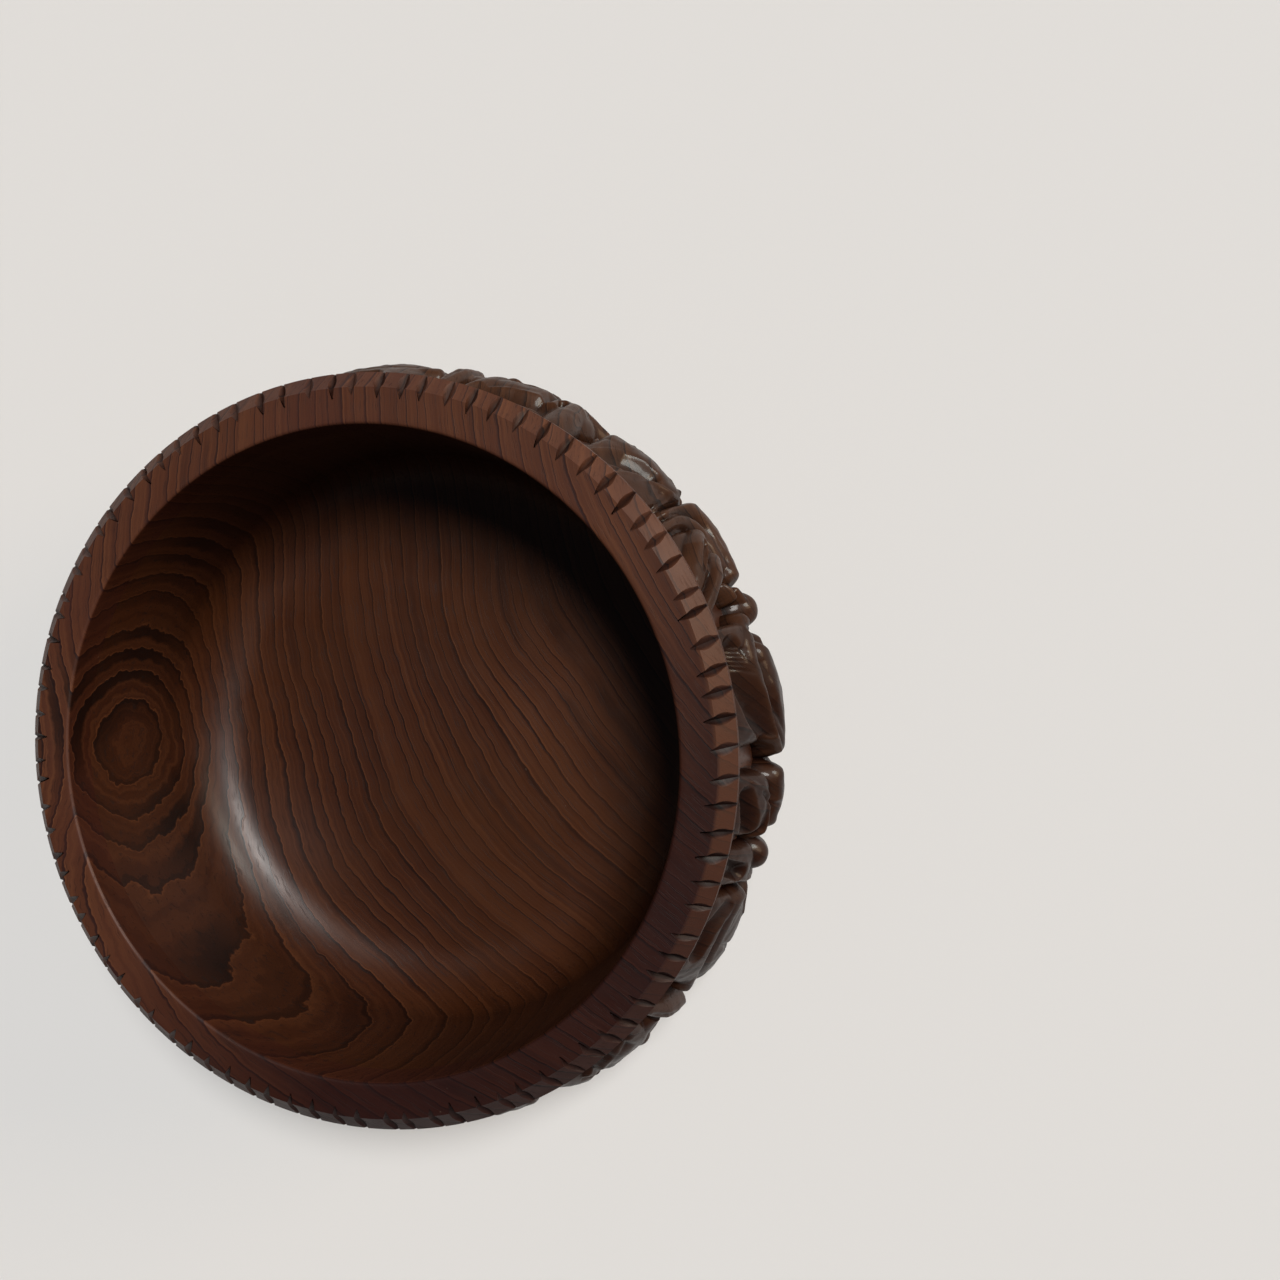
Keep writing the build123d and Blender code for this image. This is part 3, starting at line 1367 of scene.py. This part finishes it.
def long_leaf_head() -> list[Stroke]:
    """Turned-over lip with a scooped face above it, and a round bud on its right.

    Returns:
        Its strokes, in carving order.
    """
    return [
        raise_(((1.8, 43.0), (3.0, 37.0), (5.0, 30.0)), (2.6, 3.0, 3.4), (3.0, 4.0, 4.9)),
        raise_(((1.0, 33.0), (6.5, 33.6), (13.0, 31.0)), (3.4, 5.2, 4.0), (3.6, 4.5, 3.9), 3.0),
        raise_(((7.0, 44.5), (8.5, 40.0), (11.0, 35.0)), (7.0, 7.0, 5.0), (3.6, 3.8, 4.2), 3.0),
        scoop(((3.6, 41.6), (8.6, 40.6), (13.4, 38.0)), (4.0, 5.0, 4.2), (1.5, 0.9, 1.3)),
        groove(((0.8, 31.4), (6.6, 31.2), (12.4, 28.2)), 1.7, 1.5, 1.7),
        raise_(
            ((16.4, 44.5), (16.2, 38.0), (15.6, 30.0), (15.8, 27.0)),
            (3.4, 3.8, 4.0, 3.6),
            (2.6, 3.6, 5.0, 4.6),
            2.0,
        ),
        groove(((12.0, 37.0), (12.2, 32.0), (13.0, 26.5)), 1.7, 1.9, 1.7),
        scoop(((14.4, 34.5), (13.9, 31.5)), (1.5, 1.5), (3.2, 2.9)),
    ]


def ribbed_leaf_head() -> list[Stroke]:
    """Hollow leaf with soft ribs, a sharp outer ridge that turns back up to the rim, and a lobe below.

    Returns:
        Its strokes, in carving order.
    """
    return [
        raise_(((23.4, 43.5), (24.2, 38.0), (26.0, 33.0)), (2.4, 3.2, 4.0), (2.6, 3.6, 4.6)),
        raise_(((24.5, 33.0), (29.5, 31.0), (35.4, 31.6)), (4.0, 5.4, 3.8), (4.4, 4.9, 4.4), 3.0),
        raise_(((29.0, 44.5), (30.0, 38.5)), (8.4, 8.0), (3.8, 4.0), 3.4),
        raise_(
            ((36.9, 31.0), (36.0, 34.6), (33.4, 37.6), (31.6, 44.0)),
            (1.2, 1.4, 1.4, 1.2),
            (4.8, 4.6, 4.2, 3.4),
            1.8,
        ),
        scoop(((25.6, 42.5), (28.6, 38.0), (32.4, 35.4)), (3.6, 4.4, 3.0), (1.6, 1.2, 2.2)),
        groove(((26.6, 43.0), (29.0, 38.6), (33.2, 34.8)), 0.8, 0.7),
        groove(((28.8, 43.4), (30.4, 39.6), (33.2, 36.8)), 0.7, 0.6),
        groove(((24.2, 30.6), (29.6, 28.4), (35.0, 28.8)), 1.7, 1.5, 1.7),
        raise_(((35.6, 43.0), (35.4, 38.0), (35.8, 30.0)), (1.5, 1.6, 1.8), (2.2, 3.0, 4.6)),
    ]


def fan_scroll_head() -> list[Stroke]:
    """Great outer lobe round C-shaped folds, with two smooth tongues that hang from under the rim.

    Returns:
        Its strokes, in carving order.
    """
    return [
        raise_(
            ((37.8, 38.0), (38.0, 31.0), (43.0, 25.0), (50.0, 26.0)),
            (2.6, 3.6, 4.6, 3.4),
            (3.6, 5.0, 5.4, 4.8),
            2.3,
        ),
        raise_(((44.0, 36.0), (46.0, 31.0)), (6.4, 5.4), (2.6, 3.0), 3.0),
        raise_(
            ((40.2, 42.0), (40.0, 36.0), (42.2, 31.2), (47.4, 29.0)),
            (1.5, 1.7, 1.7, 1.3),
            (2.8, 3.6, 4.0, 3.4),
        ),
        raise_(((43.0, 37.0), (44.0, 33.8), (47.6, 31.8)), (1.3, 1.5, 1.2), (3.0, 3.5, 3.2)),
        groove(((39.0, 40.0), (38.8, 35.0), (41.4, 29.6), (48.4, 27.6)), 0.9, 1.5),
        groove(((41.6, 40.0), (41.6, 35.6), (44.0, 32.4), (48.4, 30.4)), 0.8, 1.2),
        raise_(
            ((52.4, 45.0), (49.0, 41.6), (45.4, 38.0), (43.6, 35.0)),
            (1.6, 2.4, 3.0, 2.6),
            (2.6, 3.8, 4.9, 4.4),
            2.4,
        ),
        raise_(
            ((56.0, 45.0), (53.0, 41.4), (49.6, 37.6), (47.4, 34.2)),
            (1.3, 2.0, 2.6, 2.2),
            (2.4, 3.4, 4.9, 4.4),
            2.4,
        ),
        scoop(((48.6, 40.4), (46.4, 38.2), (45.0, 36.4)), (1.5, 1.7, 1.3), (3.1, 3.3, 3.4)),
        groove(((53.4, 43.8), (50.4, 40.2), (46.8, 36.4)), 0.7, 1.4),
        raise_(((51.0, 33.4), (53.2, 32.4)), (1.1, 1.0), (3.6, 3.8)),
        raise_(((55.0, 27.6), (55.0, 26.4)), (4.1, 4.1), (5.6, 5.5), 2.0),
        raise_(((52.4, 31.0), (54.0, 29.6)), (1.6, 1.4), (4.3, 4.6)),
        raise_(((54.4, 23.0), (54.6, 14.0), (54.8, 9.0)), (3.0, 2.4, 0.8), (3.8, 3.2, 1.6)),
        groove(((54.5, 22.0), (54.7, 15.0), (54.8, 10.0)), 0.8, 0.9),
    ]


def lobed_leaf_head() -> list[Stroke]:
    """Broad turned lip in an S, a dark hollow with chisel marks above it and a great round lobe below.

    Returns:
        Its strokes, in carving order.
    """
    marks = [
        groove(((59.6 + 0.62 * k, 40.6), (60.4 + 0.62 * k, 38.4), (61.4 + 0.62 * k, 36.9)), 0.42, 0.42)
        for k in range(6)
    ]
    return [
        raise_(((62.5, 28.4), (68.0, 27.0), (74.5, 26.0)), (4.4, 6.6, 4.6), (5.3, 6.2, 5.8), 2.4),
        raise_(((59.0, 44.5), (59.0, 36.0)), (2.6, 2.8), (3.4, 4.0), 3.0),
        raise_(((67.0, 44.6), (67.0, 37.0)), (9.6, 9.0), (3.6, 4.0), 3.6),
        raise_(
            ((57.1, 33.0), (60.0, 35.4), (63.8, 36.0), (71.4, 33.4), (76.2, 27.6)),
            (2.4, 2.6, 2.2, 1.5, 1.3),
            (4.4, 4.7, 4.7, 5.0, 5.3),
            2.6,
        ),
        scoop(
            ((60.6, 41.0), (64.6, 40.8), (69.6, 38.4), (73.8, 34.0)),
            (4.0, 4.5, 4.6, 3.2),
            (1.2, 0.6, 0.8, 2.2),
        ),
        *marks,
        groove(((61.4, 32.6), (67.6, 31.8), (73.4, 27.6)), 1.7, 1.6, 1.7),
        groove(((58.6, 30.6), (60.2, 28.0), (60.6, 24.0)), 1.7, 1.6, 1.7),
    ]


def curled_leaf_head() -> list[Stroke]:
    """Lobe with a fine crest and a bright gouge close under the rim.

    Returns:
        Its strokes, in carving order.
    """
    return [
        raise_(((80.4, 27.0), (83.0, 26.0), (86.0, 26.0)), (3.8, 4.8, 3.8), (5.8, 6.1, 5.3), 2.3),
        raise_(((82.6, 44.6), (83.0, 36.0)), (6.2, 6.0), (3.2, 4.4), 3.2),
        raise_(
            ((79.6, 40.0), (82.0, 34.4), (86.0, 33.0), (88.4, 33.2)),
            (1.2, 1.4, 1.4, 1.2),
            (3.8, 4.8, 4.8, 4.4),
            1.9,
        ),
        scoop(((81.6, 41.6), (85.4, 39.6), (87.8, 37.4)), (3.0, 3.6, 2.6), (1.3, 1.0, 2.0)),
        groove(((79.4, 31.0), (83.4, 29.6), (87.4, 29.4)), 0.9, 1.3),
        groove(((81.4, 36.6), (83.6, 31.6), (84.0, 26.0)), 0.8, 0.9),
    ]


def small_bud_head() -> list[Stroke]:
    """Small round bud with a smooth hollow over it and a short leaf under it.

    Returns:
        Its strokes, in carving order.
    """
    return [
        raise_(((92.4, 44.6), (92.6, 34.0)), (4.2, 4.2), (2.6, 3.4), 3.0),
        scoop(((92.2, 42.2), (93.4, 36.6)), (3.1, 3.1), (1.0, 1.2)),
        raise_(((91.7, 28.6), (91.7, 27.4)), (3.6, 3.6), (5.3, 5.2), 2.0),
        raise_(((94.6, 34.4), (95.4, 30.0), (94.8, 24.0)), (1.3, 1.6, 1.4), (3.2, 3.7, 3.2)),
        raise_(((92.4, 23.6), (92.8, 17.0), (93.0, 12.0)), (3.0, 2.5, 0.9), (3.8, 3.3, 1.5)),
        groove(((92.5, 22.6), (92.8, 17.0), (93.0, 13.0)), 0.8, 0.9),
    ]


def broad_leaf_head() -> list[Stroke]:
    """Broad smooth leaf with facets near its top, and a small tip on its right.

    Returns:
        Its strokes, in carving order.
    """
    return [
        raise_(((104.6, 40.0), (105.6, 30.0), (106.0, 24.0)), (9.2, 10.2, 8.6), (3.6, 4.5, 5.0), 3.2),
        raise_(
            ((97.6, 31.0), (101.0, 34.6), (107.0, 35.0), (113.4, 32.0)),
            (2.4, 3.4, 3.6, 2.4),
            (4.0, 4.1, 3.9, 3.8),
            2.6,
        ),
        raise_(((100.4, 44.6), (104.0, 42.0), (110.4, 44.6)), (3.6, 4.4, 3.0), (3.0, 3.8, 3.0), 3.0),
        scoop(((98.0, 36.4), (101.6, 40.6), (106.0, 41.0)), (3.0, 3.8, 3.4), (2.2, 1.7, 2.0)),
        groove(((98.4, 34.4), (102.4, 36.2), (108.8, 34.8), (113.0, 30.0)), 1.7, 0.9, 1.7),
        groove(((105.0, 33.6), (106.0, 28.0), (106.6, 20.0)), 0.9, 1.0),
        raise_(
            ((117.4, 44.6), (117.8, 34.0), (117.8, 26.0), (117.8, 20.0)),
            (1.6, 2.2, 2.4, 0.8),
            (2.6, 4.6, 5.2, 2.0),
            2.0,
        ),
        groove(((117.6, 40.0), (117.8, 33.0), (117.8, 24.0)), 0.7, 0.8),
    ]


@dataclass(frozen=True)
class Sway:
    """A slow wave round the bowl, which keeps the three repeats from being exact copies."""

    size: float
    waves: int
    shift: float = 0.0
    climb: float = 0.0

    def at(self, turn: np.ndarray, level: np.ndarray) -> np.ndarray:
        """Size of the wave at an angle in radians and a height in millimetres."""
        return self.size * np.sin(self.waves * turn + self.shift + self.climb * level)


@dataclass
class CarvedFrieze:
    """The carved belly: one closed piece for each motif of the frame, cut from one continuous relief."""

    motifs: tuple[str, ...] = (
        "long_leaf",
        "ribbed_leaf",
        "fan_scroll",
        "ball_bud",
        "lobed_leaf",
        "curled_leaf",
        "small_bud",
        "broad_leaf",
        "leaf_tip",
    )
    cell: float = 0.22
    low: float = 4.8
    high: float = 44.7
    tuck: float = 1.4
    fewest_columns: int = 8
    crease: float = 62.0
    # Sizes for the painted shade in creases and deep ground, and the painted highlight on crests.
    crease_reach: float = 1.5
    crease_depth: float = 0.55
    crest_height: float = 0.7
    deep_below: float = 3.2
    deep_range: float = 3.6
    deep_share: float = 0.8
    outermost: float = WALL.side_radius - 0.1
    sideways: tuple[Sway, ...] = (Sway(0.28, 2, 0.7), Sway(0.22, 5, climb=0.12))
    upwards: tuple[Sway, ...] = (Sway(0.35, 4, 2.0), Sway(0.25, 11, climb=0.2))
    lead: float = 60.0
    foot_fade: float = 3.0
    foot_share: float = 0.35
    ripple: float = 0.05
    ripple_above: float = 1.0
    under_rim: float = 0.5
    under_rim_from: float = 43.0
    under_rim_slope: float = 2.2
    under_rim_round: float = 0.3
    relief: Relief = field(default_factory=lambda: Relief(frieze_strokes()))

    def edges(self) -> dict[str, tuple[float, float]]:
        """First and last angle of every motif, clockwise, halfway to its neighbours.

        Returns:
            Angles in degrees for each node, where the last is below the first.
        """
        spans = []
        for repeat in range(REPEATS):
            for motif in self.motifs:
                node = f"{motif}_{repeat + 1}"
                places = np.array([v.co[:2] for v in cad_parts[node].data.vertices])
                middle = math.atan2(*places.mean(0)[::-1])
                turned = np.arctan2(places[:, 1], places[:, 0]) - middle
                turned = (turned + math.pi) % math.tau - math.pi
                first, last = math.degrees(middle + turned.max()), math.degrees(middle + turned.min())
                spans.append((node, first, last))
        made = {}
        for number, (node, first, last) in enumerate(spans):
            before, after = spans[number - 1][2], spans[(number + 1) % len(spans)][1]
            made[node] = (
                first + ((before - first + 180.0) % 360.0 - 180.0) / 2,
                last + ((after - last + 180.0) % 360.0 - 180.0) / 2,
            )
        return made

    def surface(self, angle: np.ndarray, level: np.ndarray, start: float) -> tuple[np.ndarray, np.ndarray]:
        """Radius and hollowness of the carved face.

        Args:
            angle: angle round the axis, in degrees.
            level: height, in millimetres.
            start: angle where the repeat starts.

        Returns:
            Radius and height over the ground, in millimetres.
        """
        turn = np.radians(angle)
        ramble = sum(sway.at(turn, level) for sway in self.sideways)
        climb = sum(sway.at(turn, level) for sway in self.upwards)
        along = (start - angle + self.lead) % 360.0 - self.lead
        # The sideways sway is nothing where one repeat meets the next, a third of a turn on.
        place = along + ramble * np.sin(np.radians(along * REPEATS / 2)) ** 2
        tall = self.relief.height(place, level + climb)
        fade = np.clip((level - self.low) / self.foot_fade, 0.0, 1.0)
        tall = np.where(tall > 0, tall * (self.foot_share + (1 - self.foot_share) * fade), tall)
        radius = WALL.ground(level) + tall
        radius = radius + np.where(tall > self.ripple_above, self.tool_marks(angle, level), 0.0)
        under = WALL.rim_radius - self.under_rim + (self.high - level) * self.under_rim_slope
        near_rim = level > self.under_rim_from
        ceiling = np.where(near_rim, np.minimum(self.outermost, under), self.outermost)
        radius = soft_min(radius, ceiling, self.under_rim_round)
        return np.minimum(radius, self.outermost), tall

    def tool_marks(self, angle: np.ndarray, level: np.ndarray) -> np.ndarray:
        """Small ripple that the gouge leaves on the raised faces.

        Args:
            angle: angle round the axis, in degrees.
            level: height, in millimetres.

        Returns:
            Height of the ripple, in millimetres.
        """
        sway = 1.3 * np.sin(0.8 * level)
        around = np.sin(1.9 * angle * MM_PER_DEGREE + sway)
        return self.ripple * around * np.sin(1.3 * level + np.radians(angle))

    def hollows(self, tall: np.ndarray) -> tuple[np.ndarray, np.ndarray]:
        """Creases and crests of one patch, found against its smoothed height, for painted shade and
        highlight.

        Args:
            tall: height over the ground, one row for each level.

        Returns:
            Painted shade from 0 to 1 in creases and deep ground, and painted highlight from 0 to 1 on crests.
        """
        reach = round(self.crease_reach / self.cell)
        kernel = np.hanning(2 * reach + 3)[1:-1]
        kernel = kernel / kernel.sum()
        padded = np.pad(tall, reach, mode="edge")
        smooth = np.apply_along_axis(np.convolve, 0, padded, kernel, mode="valid")
        smooth = np.apply_along_axis(np.convolve, 1, smooth, kernel, mode="valid")
        creases = np.clip((smooth - tall) / self.crease_depth, 0.0, 1.0)
        deep = np.clip((self.deep_below - tall) / self.deep_range, 0.0, 1.0)
        crests = np.clip((tall - smooth) / self.crest_height, 0.0, 1.0)
        return np.clip(creases + self.deep_share * deep, 0.0, 1.0), crests

    def patch(self, node: str, first: float, last: float, start: float) -> bpy.types.Mesh:
        """Carve one motif: a grid laid over its share of the belly, sunk to the relief and closed behind.

        Args:
            node: the motif's name.
            first: its first angle, in degrees.
            last: its last angle.
            start: angle where its repeat starts.

        Returns:
            The closed mesh.
        """
        columns = max(self.fewest_columns, round((first - last) * MM_PER_DEGREE / self.cell))
        rows = round((self.high - self.low) / self.cell)
        shape = bmesh.new()
        bmesh.ops.create_grid(shape, x_segments=columns, y_segments=rows, size=0.5)
        flat = np.array([v.co[:2] for v in shape.verts]) + 0.5
        angle = first + (last - first) * flat[:, 0]
        level = self.low + (self.high - self.low) * flat[:, 1]
        radius, tall = self.surface(angle, level, start)
        row = np.rint(flat[:, 1] * rows).astype(int)
        column = np.rint(flat[:, 0] * columns).astype(int)
        field_of_height = np.zeros((rows + 1, columns + 1))
        field_of_height[row, column] = tall
        creases, crests = self.hollows(field_of_height)
        turn = np.radians(angle)
        places = np.column_stack([radius * np.cos(turn), radius * np.sin(turn), level]) * MM
        # Creases and deep ground carry painted shade with a little dirt; crests carry painted highlight.
        hollow_shade_and_dirt = shape.verts.layers.float.new("hollow_shade_and_dirt")
        crest = shape.verts.layers.float.new("crest")
        values = (places.tolist(), creases[row, column].tolist(), crests[row, column].tolist())
        for vert, place, hollow, ridge in zip(shape.verts, *values):
            vert.co = place
            vert[hollow_shade_and_dirt] = hollow
            vert[crest] = ridge
        rim = [edge for edge in shape.edges if edge.is_boundary]
        made = bmesh.ops.extrude_edge_only(shape, edges=rim)["geom"]
        for vert in (item for item in made if isinstance(item, bmesh.types.BMVert)):
            out = math.hypot(vert.co.x, vert.co.y)
            back = (float(WALL.ground(vert.co.z / MM)) - self.tuck) * MM
            vert.co = Vector((vert.co.x * back / out, vert.co.y * back / out, vert.co.z))
        behind = [item for item in made if isinstance(item, bmesh.types.BMEdge)]
        bmesh.ops.holes_fill(shape, edges=behind, sides=0)
        return close_and_shade(shape, node, self.crease)

    def build(self, wood: Wood) -> None:
        """Carve and dress every motif.

        Args:
            wood: their material.
        """
        edges = self.edges()
        for repeat in range(REPEATS):
            start = edges[f"{self.motifs[0]}_{repeat + 1}"][0]
            for motif in self.motifs:
                node = f"{motif}_{repeat + 1}"
                mesh = self.patch(node, *edges[node], start)
                finish_piece(mesh, f"carved_{node}", [node], wood)


# ---------------------------------------------------------------- studio


@dataclass(frozen=True)
class SoftSun:
    """One broad and far light: the direction it shines from and how wide it looks, in degrees."""

    name: str
    source: Triple
    spread: float
    strength: float
    colour: Triple
    sheen_only: bool = False

    def hang(self) -> None:
        """Shine it on the bowl."""
        lamp = bpy.data.lights.new(self.name, "SUN")
        lamp.angle = math.radians(self.spread)
        lamp.energy = self.strength
        lamp.color = self.colour
        holder = bpy.data.objects.new(self.name, lamp)
        bpy.context.scene.collection.objects.link(holder)
        holder.rotation_euler = Vector(self.source).normalized().to_track_quat("Z", "Y").to_euler()
        holder.visible_diffuse = not self.sheen_only


@dataclass
class Studio:
    """Pale floor, soft light and the camera. Places and sizes are metres, the lens and sensor millimetres."""

    floor_size: float = 40.0
    floor_grey: float = 0.64
    floor_roughness: float = 0.9
    eye: Triple = (0.1011, 0.0276, 0.2581)
    look: Triple = (-0.2329, -0.0342, -0.9719)
    head: Triple = (-0.0005, 0.9994, -0.0351)
    lens: float = 36.56
    sensor: float = 36.0
    suns: tuple[SoftSun, ...] = (
        SoftSun("high_window", (0.77, 0.55, 0.36), 20.0, 2.0, (0.92, 1.0, 0.96), sheen_only=True),
        SoftSun("window", (0.38, 0.34, 0.86), 20.0, 3.7, (1.0, 0.98, 0.95)),
        SoftSun("warm_wall", (0.88, 0.36, 0.26), 26.0, 1.0, (1.0, 0.70, 0.42)),
    )
    sky_colour: Triple = (0.90, 0.92, 1.0)
    zenith: float = 0.060
    zenith_height: float = 0.55
    horizon: float = 0.11
    horizon_height: float = 0.05
    backdrop: float = 0.80

    def lay_floor(self) -> None:
        """Lay the plain pale floor under the foot."""
        shape = bmesh.new()
        bmesh.ops.create_grid(shape, x_segments=1, y_segments=1, size=self.floor_size / 2)
        mesh = bpy.data.meshes.new("floor")
        shape.to_mesh(mesh)
        shape.free()
        floor = bpy.data.objects.new("floor", mesh)
        bpy.context.scene.collection.objects.link(floor)
        bench = NodeBench("pale_floor")
        shader = bench.node("ShaderNodeBsdfPrincipled")
        bench.feed(shader, "Base Color", (*(self.floor_grey,) * 3, 1.0))
        bench.feed(shader, "Roughness", self.floor_roughness)
        bench.feed(bench.node("ShaderNodeOutputMaterial"), "Surface", shader.outputs[0])
        mesh.materials.append(bench.material)

    def light(self) -> None:
        """Light the room with a dim even sky, which the camera sees as a pale backdrop, and hang the suns."""
        world = bpy.data.worlds.new("room")
        world.use_nodes = True
        nodes, links = world.node_tree.nodes, world.node_tree.links
        axes = nodes.new("ShaderNodeSeparateXYZ")
        links.new(nodes.new("ShaderNodeTexCoord").outputs["Generated"], axes.inputs[0])
        climb = nodes.new("ShaderNodeMapRange")
        heights = (self.horizon_height, self.zenith_height)
        for number, value in enumerate((*heights, self.horizon, self.zenith), start=1):
            climb.inputs[number].default_value = value
        links.new(axes.outputs[2], climb.inputs[0])
        seen = nodes.new("ShaderNodeMix")
        links.new(nodes.new("ShaderNodeLightPath").outputs["Is Camera Ray"], seen.inputs["Factor"])
        links.new(climb.outputs[0], seen.inputs["A"])
        seen.inputs["B"].default_value = self.backdrop
        sky = nodes["Background"]
        sky.inputs["Color"].default_value = (*self.sky_colour, 1.0)
        links.new(seen.outputs[0], sky.inputs["Strength"])
        bpy.context.scene.world = world
        for sun in self.suns:
            sun.hang()

    def aim(self) -> None:
        """Set the camera over the bowl, leaning a little to its left."""
        data = bpy.data.cameras.new("camera")
        data.lens = self.lens
        data.sensor_width = self.sensor
        camera = bpy.data.objects.new("camera", data)
        bpy.context.scene.collection.objects.link(camera)
        back = -Vector(self.look).normalized()
        right = Vector(self.head).cross(back).normalized()
        up = back.cross(right)
        turned = Matrix((right, up, back)).transposed().to_4x4()
        camera.matrix_world = Matrix.Translation(self.eye) @ turned
        bpy.context.scene.camera = camera

    def build(self) -> None:
        """Set up the whole studio."""
        bpy.context.scene.view_settings.view_transform = "Standard"
        self.lay_floor()
        self.light()
        self.aim()


def main() -> None:
    """Build the bowl's pieces in order, then the studio."""
    logging.basicConfig(level=logging.INFO, format="%(message)s")
    turned, rim, carved = (finish.material() for finish in (TURNED_FINISH, RIM_FINISH, CARVED_FINISH))
    TurnedBody().build(turned)
    Foot().build(turned)
    NotchedRim().build(rim)
    CarvedFrieze().build(carved)
    Studio().build()
    bpy.context.view_layer.update()


if __name__ == "__main__":
    main()
